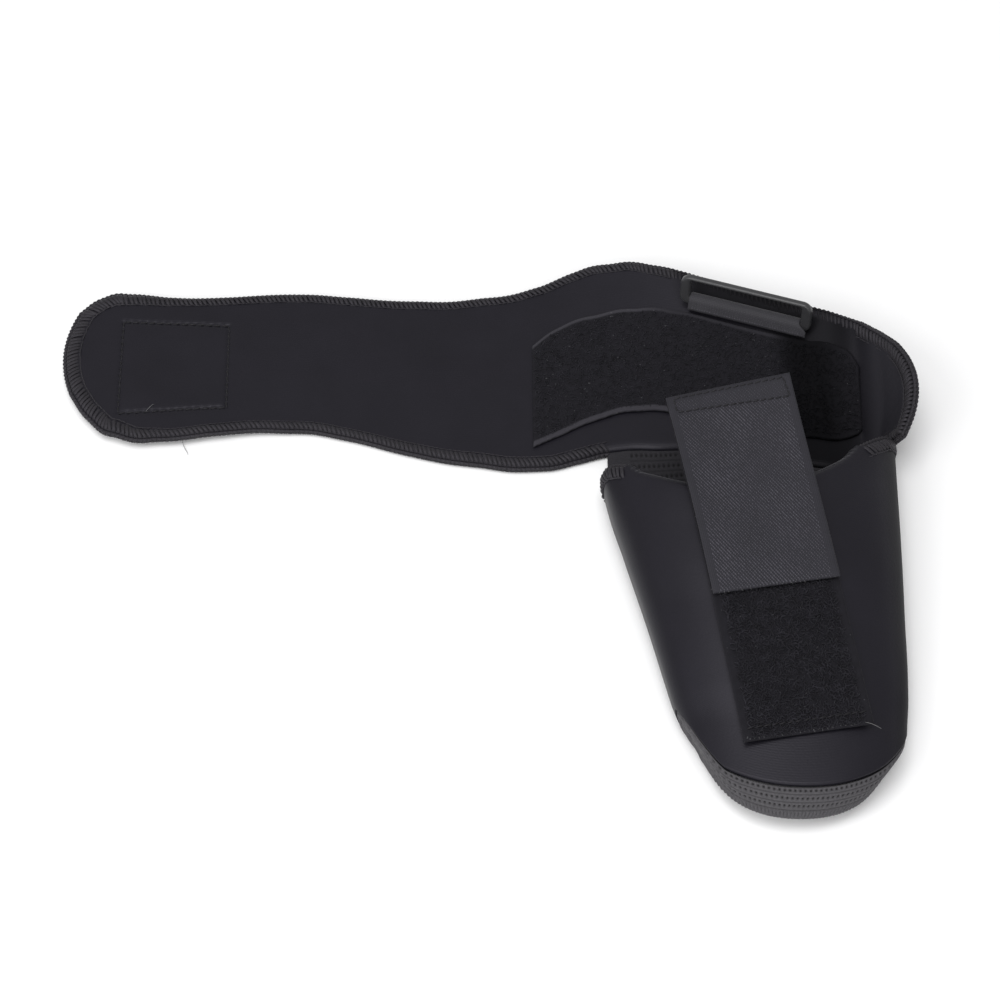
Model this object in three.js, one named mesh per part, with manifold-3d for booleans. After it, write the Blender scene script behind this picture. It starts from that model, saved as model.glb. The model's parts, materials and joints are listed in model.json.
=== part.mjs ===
// A soft neoprene support that lies on a table: a wrap band, a tapered sleeve with elastic at both ends,
// and a hook and loop strap that can run from the sleeve's tip to a plastic ring on the band.
// Millimetres, +Z up, the table at z = 0, +Y away from the sleeve's narrow end.
import * as THREE from "three";
import { mergeVertices } from "three/addons/utils/BufferGeometryUtils.js";
import Module from "manifold-3d";

// Sheet goods, by thickness.
const NEOPRENE = 3.0;
const ELASTIC = 1.4;
const LOOP_FABRIC = 1.8;
const HOOK_TAPE = 1.6;
const TAB_TAPE = 0.9;
const GAP = 0.4; // air left between two pieces that are sewn together
const SEAM = 0.9; // air left where two edges meet end to end

// The band, a row for each section across it: its near and far edge, and how high each lies.
// Between the edges the sheet curls up towards the far one.
const BAND = [
  { x: -130.5, nearY: 49.5, farY: 82, nearZ: 3.6, farZ: 3.6 },
  { x: -124, nearY: 40.3, farY: 87.8, nearZ: 3.6, farZ: 3.6 },
  { x: -115.5, nearY: 35, farY: 89.4, nearZ: 3.6, farZ: 3.6 },
  { x: -102, nearY: 32.6, farY: 88.1, nearZ: 3.6, farZ: 3.6 },
  { x: -84, nearY: 34.9, farY: 88.1, nearZ: 3.5, farZ: 3.6 },
  { x: -62, nearY: 36.3, farY: 89.4, nearZ: 2.2, farZ: 3.2 },
  { x: -44, nearY: 33.9, farY: 89.2, nearZ: 1.8, farZ: 2.8 },
  { x: -22, nearY: 27.5, farY: 88, nearZ: 1.7, farZ: 2.2 },
  { x: 0, nearY: 23.2, farY: 89.3, nearZ: 1.7, farZ: 2.2 },
  { x: 18, nearY: 21.8, farY: 92.8, nearZ: 1.7, farZ: 3.4 },
  { x: 30, nearY: 24.4, farY: 97.8, nearZ: 1.7, farZ: 5 },
  { x: 42, nearY: 27.7, farY: 100.4, nearZ: 1.7, farZ: 6.5 },
  { x: 56, nearY: 28.3, farY: 98.4, nearZ: 1.7, farZ: 8.5 },
  { x: 72, nearY: 28, farY: 91, nearZ: 1.7, farZ: 10.5 },
  { x: 90, nearY: 26, farY: 82.4, nearZ: 1.7, farZ: 12 },
  { x: 107, nearY: 24.4, farY: 75.2, nearZ: 1.8, farZ: 14.5 },
  { x: 118, nearY: 24, farY: 69.2, nearZ: 2.2, farZ: 17 },
  { x: 124, nearY: 24.4, farY: 63.2, nearZ: 5, farZ: 19.6 },
  { x: 127.3, nearY: 24.2, farY: 58.6, nearZ: 11, farZ: 21.5 },
  { x: 129.5, nearY: 21.8, farY: 54.4, nearZ: 19.5, farZ: 23.2 },
];
const BAND_CURL = 2; // power of the rise from the near edge to the far one
// How far each round end stands past its last section, and over what length.
const LEFT_END = { bulge: 4.2, over: 15 };
const RIGHT_END = { bulge: 4.6, lift: 3.6, over: 12 };

// The loop patch on the band, a row for each section: where its two edges run.
const LOOP_PATCH = [
  { x: 16.5, nearY: 28.5, farY: 68.5 },
  { x: 25, nearY: 33, farY: 75.5 },
  { x: 38, nearY: 39.5, farY: 80.4 },
  { x: 51, nearY: 42.6, farY: 81.4 },
  { x: 62, nearY: 41.5, farY: 79.4 },
  { x: 76, nearY: 38, farY: 74.6 },
  { x: 90, nearY: 34.5, farY: 69.6 },
  { x: 105, nearY: 32.1, farY: 64.6 },
  { x: 116, nearY: 31.8, farY: 61 },
  { x: 121, nearY: 34.5, farY: 55 },
];

// The hook patch under the band's left end.
const HOOK_PATCH = { x: -98.7, y: 60, width: 39, length: 41 };

// The sleeve, a row for each section across it: its middle, half its width and its height.
const SLEEVE = [
  { y: 24, x: 82.2, half: 46.4, height: 29 },
  { y: 6, x: 83, half: 45, height: 29 },
  { y: -16, x: 85.2, half: 41.6, height: 28 },
  { y: -41, x: 88, half: 37.6, height: 25 },
  { y: -66, x: 90.5, half: 34, height: 21.5 },
  { y: -79, x: 91.6, half: 31.8, height: 19.2 },
  { y: -101, x: 92.5, half: 30.5, height: 16.5 },
];
const WIDEST = 0.4; // share of the height at which a section is widest
const CROWN = 2.2; // superellipse power of a section's upper half
const FLOOR = 4; // and of its lower half, which lies flat
const MOUTH = { leftY: 12.5, rightY: 23, dip: 23, dipPower: 3, floorDip: 2 };
const TIP = { floorY: -72, crownY: -99, leftRise: 9, rightRise: 1.5, sideFrom: 0.72, aboveHigh: -0.6 };

// The elastic lip that closes the sleeve's tip to a slit.
const LIP = { x: 91.8, half: 25.5, sideY: -86, crownReach: 17, floorReach: 10, midZ: 3.6, halfZ: 3.2 };
const LIP_LEAD = 4; // how far the elastic runs straight on from the neoprene
const LIP_SUNK = 0.8; // how far its face lies below the neoprene's
const LIP_SOFT = 0.35; // how round the lip's two corners are

// The elastic strip between the band's near edge and the sleeve's floor.
const MOUTH_STRIP = { fromX: 42, toX: 112, z: 1.5 };

// The strap lies along the sleeve's crown and stands free past the mouth.
const STRAP = { width: 38, tipX: 94, tipY: -83.7, endX: 75.7, endY: 29.1 };
const STRAP_TWIST = { fromY: -22, endY: 34, rise: 7 }; // its free end is higher at the right
const STRAP_RISE = [
  { y: -90, z: 17.7 },
  { y: -66, z: 21.5 },
  { y: -41, z: 25 },
  { y: -16, z: 28 },
  { y: 6, z: 30 },
  { y: 34, z: 32.6 },
];
const HOOK_FROM_Y = -38.9; // the hook tape's loose end

// The ring and the tab that holds its lower bar.
const TAB = { leftX: 65.9, leftY: 80, rightX: 103.2, rightY: 66.3, width: 36.2, lift: 0.9, front: 1.5 };
const BAR = { radius: 1.3, clearance: 0.3, back: 3.6 };
const RING = {
  length: 43.8,
  reach: 9.5, // from the bar's axis to the top
  side: 3.4,
  top: 1.4,
  thick: 2.4,
  corner: 3.2,
  footCorner: 2.7,
  bevel: 0.3,
  lean: 11, // degrees back from upright
};

const COLOURS = {
  neoprene: { color: 0x161619, roughness: 0.72, metalness: 0 },
  elastic: { color: 0x202124, roughness: 0.8, metalness: 0 },
  loop: { color: 0x0b0b0c, roughness: 0.95, metalness: 0 },
  hook: { color: 0x26262a, roughness: 0.7, metalness: 0 },
  plastic: { color: 0x18191b, roughness: 0.38, metalness: 0 },
};
const finish = Object.fromEntries(
  Object.entries(COLOURS).map(([name, look]) => [name, new THREE.MeshStandardMaterial(look)]),
);

const { clamp, degToRad, lerp } = THREE.MathUtils;
const square = (value) => value * value;
const at = (x, y, z) => new THREE.Vector3(x, y, z);

// A smooth curve through one column of a table, read at a place along its key column.
function column(rows, key, name, place) {
  const up = rows[0][key] < rows[1][key] ? 1 : -1;
  let i = 0;
  while (i < rows.length - 2 && up * (place - rows[i + 1][key]) > 0) i++;
  const slope = (a, b) => (rows[b][name] - rows[a][name]) / (rows[b][key] - rows[a][key]);
  const bend = (k) => slope(Math.max(k - 1, 0), Math.min(k + 1, rows.length - 1));
  const span = rows[i + 1][key] - rows[i][key];
  const t = (place - rows[i][key]) / span;
  const start = rows[i][name] + bend(i) * span * t;
  const end = rows[i + 1][name] - bend(i + 1) * span * (1 - t);
  return lerp(start, end, t * t * (3 - 2 * t));
}

// The place along a table's key column that lies a share of the way through its rows.
function placeThrough(rows, key, share) {
  const row = clamp(share, 0, 1) * (rows.length - 1);
  const i = Math.min(Math.floor(row), rows.length - 2);
  return lerp(rows[i][key], rows[i + 1][key], row - i);
}

// The direction square to a surface at a place on it.
function normalOf(surface, u, v) {
  const step = 1e-3;
  const along = surface(u + step, v).sub(surface(u - step, v));
  const across = surface(u, v + step).sub(surface(u, v - step));
  return along.cross(across).normalize();
}

// A surface moved along its normal.
const lifted = (surface, height) => (u, v) =>
  surface(u, v).addScaledVector(normalOf(surface, u, v), height);

// A closed wall between an upper and a lower face, both over the unit square.
// With `round`, its two ends along u meet and the wall is a tube.
function wall(upper, lower, { nu, nv, round = false }) {
  const columns = round ? nu : nu + 1;
  const points = [];
  for (const face of [upper, lower])
    for (let i = 0; i < columns; i++)
      for (let j = 0; j <= nv; j++) points.push(face(i / nu, j / nv));
  const top = (i, j) => (i % columns) * (nv + 1) + j;
  const under = (i, j) => columns * (nv + 1) + top(i, j);
  const faces = [];
  const quad = (a, b, c, d) => faces.push(a, b, c, a, c, d);
  for (let i = 0; i < nu; i++) {
    for (let j = 0; j < nv; j++) {
      quad(top(i, j), top(i + 1, j), top(i + 1, j + 1), top(i, j + 1));
      quad(under(i, j), under(i, j + 1), under(i + 1, j + 1), under(i + 1, j));
    }
    quad(top(i, 0), under(i, 0), under(i + 1, 0), top(i + 1, 0));
    quad(top(i, nv), top(i + 1, nv), under(i + 1, nv), under(i, nv));
  }
  if (!round)
    for (let j = 0; j < nv; j++) {
      quad(top(0, j), top(0, j + 1), under(0, j + 1), under(0, j));
      quad(top(nu, j), under(nu, j), under(nu, j + 1), top(nu, j + 1));
    }
  const geometry = new THREE.BufferGeometry().setFromPoints(points).setIndex(faces);
  geometry.computeVertexNormals();
  return geometry;
}

// The band's middle surface at a section x, from its near edge (0) to its far edge (1).
function bandAt(x, across) {
  const y = lerp(column(BAND, "x", "nearY", x), column(BAND, "x", "farY", x), across);
  const rise = Math.abs(across) ** BAND_CURL;
  const z = lerp(column(BAND, "x", "nearZ", x), column(BAND, "x", "farZ", x), rise);
  const left = square(clamp(1 - (x - BAND[0].x) / LEFT_END.over, 0, 1));
  const right = square(clamp(1 - (BAND.at(-1).x - x) / RIGHT_END.over, 0, 1));
  const arc = 4 * across * (1 - across);
  return at(
    x + arc * (RIGHT_END.bulge * right - LEFT_END.bulge * left),
    y,
    z + arc * RIGHT_END.lift * right,
  );
}
const bandSheet = (u, v) => bandAt(placeThrough(BAND, "x", u), v);

// The same surface found from a place in plan, and its normal there.
function onBand(x, y) {
  const [near, far] = [column(BAND, "x", "nearY", x), column(BAND, "x", "farY", x)];
  return bandAt(x, (y - near) / (far - near));
}
const bandNormal = (x, y) => normalOf(onBand, x, y);

// A place in plan, lifted off the band's middle surface.
const aboveBand = (x, y, height) => onBand(x, y).addScaledVector(bandNormal(x, y), height);

// The loop patch follows the band from just above its upper face.
function patchSheet(u, v) {
  const x = placeThrough(LOOP_PATCH, "x", u);
  const y = lerp(column(LOOP_PATCH, "x", "nearY", x), column(LOOP_PATCH, "x", "farY", x), v);
  return aboveBand(x, y, NEOPRENE / 2 + GAP);
}

// The hook patch lies flat on the table under the band's left end.
const hookPatchSheet = (u, v) =>
  at(HOOK_PATCH.x + (u - 0.5) * HOOK_PATCH.width, HOOK_PATCH.y + (v - 0.5) * HOOK_PATCH.length, 0);

// One section of the sleeve as shares of its half width and height, evenly spaced round it from the right.
const SECTION_STEPS = 720;
const SECTION_FLATNESS = 0.35; // a typical section's height over its width
function sectionShares() {
  const share = (value, power) => Math.sign(value) * Math.abs(value) ** (2 / power);
  const loop = Array.from({ length: SECTION_STEPS + 1 }, (_, i) => {
    const turn = (2 * Math.PI * i) / SECTION_STEPS;
    const power = Math.sin(turn) >= 0 ? CROWN : FLOOR;
    return { wide: share(Math.cos(turn), power), high: share(Math.sin(turn), power) };
  });
  const walked = [0];
  for (let i = 1; i <= SECTION_STEPS; i++) {
    const wide = loop[i].wide - loop[i - 1].wide;
    const high = loop[i].high - loop[i - 1].high;
    walked.push(walked[i - 1] + Math.hypot(wide, SECTION_FLATNESS * high));
  }
  return (turn) => {
    const goal = (((turn % 1) + 1) % 1) * walked[SECTION_STEPS];
    const i = Math.max(walked.findIndex((length) => length >= goal), 1);
    const t = (goal - walked[i - 1]) / (walked[i] - walked[i - 1]);
    return {
      wide: lerp(loop[i - 1].wide, loop[i].wide, t),
      high: lerp(loop[i - 1].high, loop[i].high, t),
    };
  };
}
const section = sectionShares();

// A point on the sleeve's outer face, round a section and at a place along its length.
function sleeveAt({ wide, high }, y) {
  const height = column(SLEEVE, "y", "height", y);
  const widest = WIDEST * height;
  const x = column(SLEEVE, "y", "x", y) + wide * column(SLEEVE, "y", "half", y);
  return at(x, y, widest + high * (high > 0 ? height - widest : widest));
}

// Where the sleeve's two ends are cut, round a section.
function mouthY({ wide, high }) {
  const side = lerp(MOUTH.leftY, MOUTH.rightY, (wide + 1) / 2);
  return side - (high > 0 ? MOUTH.dip * high ** MOUTH.dipPower : -MOUTH.floorDip * high);
}
// The tip is cut on a slant, so that the crown reaches further than the floor, and is cut back at its sides.
function tipY({ wide, high }) {
  const side = Math.max(Math.abs(wide) - TIP.sideFrom, 0) / (1 - TIP.sideFrom);
  const above = Math.min(Math.max(1 - high / TIP.aboveHigh, 0), 1);
  const rise = (wide < 0 ? TIP.leftRise : TIP.rightRise) * side ** 1.5 * above;
  return lerp(TIP.floorY, TIP.crownY, square((high + 1) / 2)) + rise;
}

function sleeveTube(u, v) {
  const share = section(u);
  return sleeveAt(share, lerp(mouthY(share), tipY(share), v));
}

// The tip's elastic leaves the neoprene's cut edge in line with it, then turns down to the lip.
// Its inner face is inset from its outer one all the way, and the lip's lower half mirrors its upper one.
const lipTube = (inset) => (u, v) => {
  const { wide, high } = section(u);
  const forward = at(0, -1, 0);
  const start = lifted(sleeveTube, -LIP_SUNK - inset)(u, 1).addScaledVector(forward, SEAM);
  const turn = start.clone().addScaledVector(forward, LIP_LEAD);
  const power = high < 0 ? FLOOR / CROWN : 1;
  const [side, rise] = [Math.abs(wide) ** power, Math.abs(high) ** power];
  const reach = (Math.hypot(rise, LIP_SOFT) - LIP_SOFT) / (Math.hypot(1, LIP_SOFT) - LIP_SOFT);
  const lip = at(
    LIP.x + (LIP.half - inset) * Math.sign(wide) * side,
    LIP.sideY - (high > 0 ? LIP.crownReach : LIP.floorReach) * reach,
    LIP.midZ + (LIP.halfZ - inset) * Math.sign(high) * rise,
  );
  return new THREE.QuadraticBezierCurve3(start, turn, lip).getPoint(v);
};

// The strip at the mouth runs from the sleeve's floor to the band's near edge.
function stripSheet(u, v) {
  const x = lerp(MOUTH_STRIP.fromX, MOUTH_STRIP.toX, u);
  const wide = (x - SLEEVE[0].x) / SLEEVE[0].half;
  const from = mouthY({ wide, high: -1 }) + SEAM;
  const to = column(BAND, "x", "nearY", x) - SEAM;
  return at(x, lerp(from, to, v), MOUTH_STRIP.z);
}

// The strap: straight in plan, flat across its width, following the crown along its length.
const strapLine = new THREE.Vector2(STRAP.endX - STRAP.tipX, STRAP.endY - STRAP.tipY);
const strapAcross = new THREE.Vector2(strapLine.y, -strapLine.x).normalize();
function strapAt(share, across) {
  const y = lerp(STRAP.tipY, STRAP.endY, share);
  const side = (across - 0.5) * STRAP.width;
  return at(
    lerp(STRAP.tipX, STRAP.endX, share) + side * strapAcross.x,
    y + side * strapAcross.y,
    column(STRAP_RISE, "y", "z", y) + GAP + (across - 0.5) * strapTwist(y),
  );
}
function strapTwist(y) {
  const { fromY, endY, rise } = STRAP_TWIST;
  return rise * square(clamp((y - fromY) / (endY - fromY), 0, 1));
}
const strapShare = (y) => (y - STRAP.tipY) / (STRAP.endY - STRAP.tipY);
const loopTape = (u, v) => strapAt(v, u);
const hookTape = (u, v) => strapAt(lerp(strapShare(HOOK_FROM_Y), 1, v), u);

// The tab's frame: along the bar, back over the band, and square to the band.
const tabLeft = aboveBand(TAB.leftX, TAB.leftY, NEOPRENE / 2 + TAB.lift);
const tabRight = aboveBand(TAB.rightX, TAB.rightY, NEOPRENE / 2 + TAB.lift);
const tabMiddle = tabLeft.clone().lerp(tabRight, 0.5);
const alongBar = tabRight.clone().sub(tabLeft).normalize();
const footNormal = bandNormal((TAB.leftX + TAB.rightX) / 2, (TAB.leftY + TAB.rightY) / 2);
const tabBack = footNormal.clone().cross(alongBar).normalize();
const tabUp = alongBar.clone().cross(tabBack).normalize();
const foldOuter = BAR.radius + BAR.clearance + TAB_TAPE;
const barCentre = tabMiddle.clone().addScaledVector(tabBack, BAR.back).addScaledVector(tabUp, foldOuter);

// The tab's side view: a flat foot, the front ply up to the fold, and the bar's hole.
function tabProfile() {
  const reach = Math.hypot(BAR.back, foldOuter - TAB.front);
  const toFoot = Math.PI + Math.atan2(foldOuter - TAB.front, BAR.back);
  const leaves = toFoot - Math.acos(foldOuter / reach);
  const outline = new THREE.Shape();
  outline.moveTo(0, 0);
  outline.lineTo(BAR.back, 0);
  outline.absarc(BAR.back, foldOuter, foldOuter, -Math.PI / 2, leaves, false);
  outline.lineTo(0, TAB.front);
  outline.closePath();
  const hole = new THREE.Path();
  hole.absarc(BAR.back, foldOuter, BAR.radius + BAR.clearance, 0, 2 * Math.PI, true);
  outline.holes.push(hole);
  return outline;
}

function tabMesh() {
  const geometry = new THREE.ExtrudeGeometry(tabProfile(), {
    depth: TAB.width,
    bevelEnabled: false,
    curveSegments: 14,
  });
  geometry.translate(0, 0, -TAB.width / 2);
  const mesh = new THREE.Mesh(geometry, finish.hook);
  mesh.quaternion.setFromRotationMatrix(new THREE.Matrix4().makeBasis(tabBack, tabUp, alongBar));
  mesh.position.copy(tabMiddle);
  return mesh;
}

// Solids that are joined: geometry in, geometry out.
const wasm = await Module();
wasm.setup();
function solid(geometry) {
  const bare = geometry.clone().deleteAttribute("normal").deleteAttribute("uv");
  const merged = mergeVertices(bare, 1e-3);
  return new wasm.Manifold(
    new wasm.Mesh({
      numProp: 3,
      vertProperties: merged.attributes.position.array,
      triVerts: new Uint32Array(merged.index.array),
    }),
  );
}
function geometryOf(made) {
  const { vertProperties, triVerts } = made.getMesh();
  const geometry = new THREE.BufferGeometry();
  geometry.setAttribute("position", new THREE.BufferAttribute(vertProperties, 3));
  geometry.setIndex(new THREE.BufferAttribute(triVerts, 1));
  geometry.computeVertexNormals();
  return geometry;
}

// The ring's frame has three flat bars; the fourth, in the tab's fold, is round so that it can turn.
function ringGeometry() {
  const [half, inner] = [RING.length / 2, RING.length / 2 - RING.side];
  const [low, high, slot] = [-BAR.radius, RING.reach, RING.reach - RING.top];
  const [round, foot] = [RING.corner, RING.footCorner];
  const outline = new THREE.Shape();
  outline.moveTo(inner, low);
  outline.absarc(half - foot, low + foot, foot, -Math.PI / 2, 0, false);
  outline.absarc(half - round, high - round, round, 0, Math.PI / 2, false);
  outline.absarc(round - half, high - round, round, Math.PI / 2, Math.PI, false);
  outline.absarc(foot - half, low + foot, foot, Math.PI, 1.5 * Math.PI, false);
  outline.lineTo(-inner, low);
  outline.lineTo(-inner, slot);
  outline.lineTo(inner, slot);
  outline.closePath();
  const frame = new THREE.ExtrudeGeometry(outline, {
    depth: RING.thick - 2 * RING.bevel,
    bevelThickness: RING.bevel,
    bevelSize: RING.bevel,
    bevelOffset: -RING.bevel,
    bevelSegments: 2,
    curveSegments: 6,
  });
  frame.translate(0, 0, RING.bevel - RING.thick / 2);
  const bar = new THREE.CylinderGeometry(BAR.radius, BAR.radius, 2 * inner + RING.side, 20);
  bar.rotateZ(Math.PI / 2);
  return geometryOf(solid(frame).add(solid(bar)));
}

// The ring stands in a group of its own, which turns about the bar.
function ringGroup() {
  const lean = degToRad(RING.lean);
  const level = at(0, 0, 1).cross(alongBar).normalize();
  const upright = alongBar.clone().cross(level);
  const ringUp = upright.multiplyScalar(Math.cos(lean)).addScaledVector(level, Math.sin(lean));
  const face = alongBar.clone().cross(ringUp);
  const group = new THREE.Group();
  group.quaternion.setFromRotationMatrix(new THREE.Matrix4().makeBasis(alongBar, ringUp, face));
  group.position.copy(barCentre);
  group.add(named("strap_ring", new THREE.Mesh(ringGeometry(), finish.plastic)));
  return group;
}

function named(name, mesh) {
  mesh.name = name;
  return mesh;
}
// A sewn piece of sheet goods, from one height to another over its surface.
const sheet = (name, look, surface, [from, to], grid) =>
  named(name, new THREE.Mesh(wall(lifted(surface, to), lifted(surface, from), grid), look));

const HOOK_ABOVE = LOOP_FABRIC + GAP; // the hook tape lies on the loop tape
const assembly = new THREE.Group();
assembly.add(
  sheet("band", finish.neoprene, bandSheet, [-NEOPRENE / 2, NEOPRENE / 2], { nu: 36, nv: 8 }),
  sheet("band_hook_patch", finish.hook, hookPatchSheet, [0, HOOK_TAPE], { nu: 2, nv: 2 }),
  sheet("loop_patch", finish.loop, patchSheet, [0, LOOP_FABRIC], { nu: 27, nv: 6 }),
  sheet("toe_sleeve", finish.neoprene, sleeveTube, [-NEOPRENE, 0], { nu: 40, nv: 12, round: true }),
  named(
    "toe_elastic",
    new THREE.Mesh(wall(lipTube(0), lipTube(ELASTIC), { nu: 40, nv: 5, round: true }), finish.elastic),
  ),
  sheet("mouth_elastic", finish.elastic, stripSheet, [-ELASTIC / 2, ELASTIC / 2], { nu: 14, nv: 2 }),
  sheet("strap_loop_tape", finish.loop, loopTape, [0, LOOP_FABRIC], { nu: 2, nv: 16 }),
  sheet("strap_hook_tape", finish.hook, hookTape, [HOOK_ABOVE, HOOK_ABOVE + HOOK_TAPE], { nu: 2, nv: 10 }),
  named("ring_tab", tabMesh()),
  ringGroup(),
);

export default assembly;
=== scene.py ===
# %% [markdown]
# # A soft wrap support in black neoprene
# The object is sewn from sheet goods: a wrap band, a tapered sleeve, two pieces of ribbed elastic, and
# hook and loop tapes. Only the plastic ring is hard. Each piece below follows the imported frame, so it is
# made in the frame's own place, and the stitches and pile are then laid over it.

# %% Load the frame
import json
import math
from types import SimpleNamespace as Sizes

import bmesh
import bpy
import numpy as np
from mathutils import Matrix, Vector


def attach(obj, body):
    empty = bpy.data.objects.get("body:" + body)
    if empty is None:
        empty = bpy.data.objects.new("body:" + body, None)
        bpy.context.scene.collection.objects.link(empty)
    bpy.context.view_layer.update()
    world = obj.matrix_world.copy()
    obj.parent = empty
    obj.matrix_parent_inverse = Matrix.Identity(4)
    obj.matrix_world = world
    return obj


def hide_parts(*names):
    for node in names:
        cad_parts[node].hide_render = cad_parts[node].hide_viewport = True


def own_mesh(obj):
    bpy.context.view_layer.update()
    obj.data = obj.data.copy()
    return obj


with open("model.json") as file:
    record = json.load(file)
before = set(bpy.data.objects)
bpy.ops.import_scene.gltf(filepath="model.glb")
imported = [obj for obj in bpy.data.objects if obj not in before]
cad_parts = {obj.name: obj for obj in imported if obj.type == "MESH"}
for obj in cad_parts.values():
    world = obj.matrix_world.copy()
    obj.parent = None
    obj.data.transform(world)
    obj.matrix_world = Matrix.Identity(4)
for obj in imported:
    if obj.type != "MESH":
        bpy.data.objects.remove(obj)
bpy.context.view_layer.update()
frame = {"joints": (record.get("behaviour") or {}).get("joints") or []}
MM = 0.001

# %% [markdown]
# ## Camera
# The strap is 38 mm tape, which fixes the scale. The stitches look shorter when they run away from the
# viewer than when they run across, and that ratio gives a camera 55 degrees above the table. The camera's
# place is worked out from that angle, so that one number tilts the view.

# %% Camera
LOOK_AT = Vector((6, 11, 0)) * MM
CAMERA_ELEVATION = math.radians(55)
CAMERA_DISTANCE = 800 * MM
SCENE_WIDTH = 312 * MM  # what the frame spans at that distance


def add_camera():
    data = bpy.data.cameras.new("camera")
    data.lens = data.sensor_width * CAMERA_DISTANCE / SCENE_WIDTH
    camera = bpy.data.objects.new("camera", data)
    bpy.context.collection.objects.link(camera)
    back = Vector((0, -math.cos(CAMERA_ELEVATION), math.sin(CAMERA_ELEVATION)))
    camera.location = LOOK_AT + back * CAMERA_DISTANCE
    camera.rotation_euler = (-back).to_track_quat("-Z", "Y").to_euler()
    bpy.context.scene.camera = camera
    return data.lens


print("camera lens in mm:", round(add_camera(), 2))

# %% [markdown]
# ## Shader sums
# A material here is a handful of textures added and multiplied together. Wrapping a socket in a small class
# lets those sums be written as plain arithmetic, and one method adds any other node.


# %% A socket that can be added and multiplied
class Wire:
    """An output socket of a material's tree: arithmetic on it adds Math nodes."""

    def __init__(self, tree, socket=None):
        self.tree = tree
        self.socket = socket

    def node(self, kind, settings=None, inputs=None, output=0):
        made = self.tree.nodes.new(kind)
        for name, value in (settings or {}).items():
            if name == "stops":
                self.set_stops(made.color_ramp, value)
            else:
                setattr(made, name, value)
        for key, value in (inputs or {}).items():
            target = next(s for s in made.inputs if key in (s.identifier, s.name))
            if isinstance(value, Wire):
                self.tree.links.new(value.socket, target)
            else:
                target.default_value = value
        return Wire(self.tree, made.outputs[output])

    @staticmethod
    def set_stops(ramp, stops):
        for place, value in stops[1:-1]:
            ramp.elements.new(place)
        for element, (place, value) in zip(ramp.elements, stops):
            element.position = place
            element.color = (value, value, value, 1)

    def sum(self, operation, first, second):
        inputs = {"Value": first, "Value_001": second}
        return self.node("ShaderNodeMath", {"operation": operation}, inputs)

    def __add__(self, other):
        return self.sum("ADD", self, other)

    def __sub__(self, other):
        return self.sum("SUBTRACT", self, other)

    def __rsub__(self, other):
        return self.sum("SUBTRACT", other, self)

    def __mul__(self, other):
        return self.sum("MULTIPLY", self, other)

    def __gt__(self, other):
        return self.sum("GREATER_THAN", self, other)

    def __lt__(self, other):
        return self.sum("LESS_THAN", self, other)

    __radd__ = __add__
    __rmul__ = __mul__

    def sine(self):
        return self.node("ShaderNodeMath", {"operation": "SINE"}, {"Value": self})

    def between(self, dark, pale):
        """A colour that goes from dark to pale as this value goes from 0 to 1."""
        colours = {"Factor_Float": self, "A_Color": (*dark, 1), "B_Color": (*pale, 1)}
        return self.node("ShaderNodeMix", {"data_type": "RGBA"}, colours, output=2)

    def blend(self, dark, pale):
        """As between, with wires for the two colours."""
        colours = {"Factor_Float": self, "A_Color": dark, "B_Color": pale}
        return self.node("ShaderNodeMix", {"data_type": "RGBA"}, colours, output=2)


def new_finish(name, constants):
    """A material, a wire on its tree, its shader and its Object coordinates."""
    material = bpy.data.materials.new(name)
    material.use_nodes = True
    tree = material.node_tree
    shader = tree.nodes["Principled BSDF"]
    for key, value in constants.items():
        shader.inputs[key].default_value = value
    place = Wire(tree).node("ShaderNodeTexCoord", output=3)
    return material, shader, place


def feed(shader, **wires):
    for name, wire in wires.items():
        wire.tree.links.new(wire.socket, shader.inputs[name.replace("_", " ")])


def noise(place, scale, detail=2.0, output=0):
    inputs = {"Vector": place, "Scale": scale, "Detail": detail}
    return place.node("ShaderNodeTexNoise", None, inputs, output)


def bumped(height, depth):
    """A bump of real depth in mm from a height that runs from 0 to 1."""
    inputs = {"Height": height, "Distance": depth * MM, "Strength": 1.0}
    return height.node("ShaderNodeBump", None, inputs)


def marked(place, name):
    """A value that the mesh holds at its points."""
    return place.node("ShaderNodeAttribute", {"attribute_name": name}, None, 2)


def mix_painted_shade(shader, place):
    """Painted shade: a finish turns dull black where the mesh is marked deep, as in the gap behind the ring.
    """
    deep = marked(place, "deep")
    dull = place.node("ShaderNodeBsdfDiffuse", None, {"Color": (0.004, 0.004, 0.0043, 1)})
    inputs = {"Fac": deep, "Shader": Wire(place.tree, shader.outputs[0]), "Shader_001": dull}
    both = place.node("ShaderNodeMixShader", None, inputs)
    place.tree.links.new(both.socket, place.tree.nodes["Material Output"].inputs["Surface"])


# %% [markdown]
# ## Finishes
# Neoprene is foam between two knitted faces: nearly black, faintly mottled, a little lint on it, and a soft
# sheen where the light grazes it. The threads are rougher, the elastic is greyer, the pile swallows light,
# and the moulded ring is the one smooth, satin thing. Real loops, ribs and threads are modelled further down,
# so bump is kept for what is too fine to model, such as the knit's courses.


# %% Neoprene
COOL = (0.93, 0.905, 1, 1)  # black dye reflects a little more blue


def dyed(sheen, sheen_roughness, specular):
    """Shader constants of a cloth dyed black."""
    return {
        "Sheen Weight": sheen,
        "Sheen Roughness": sheen_roughness,
        "Specular IOR Level": specular,
        "Specular Tint": COOL,
    }


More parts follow.
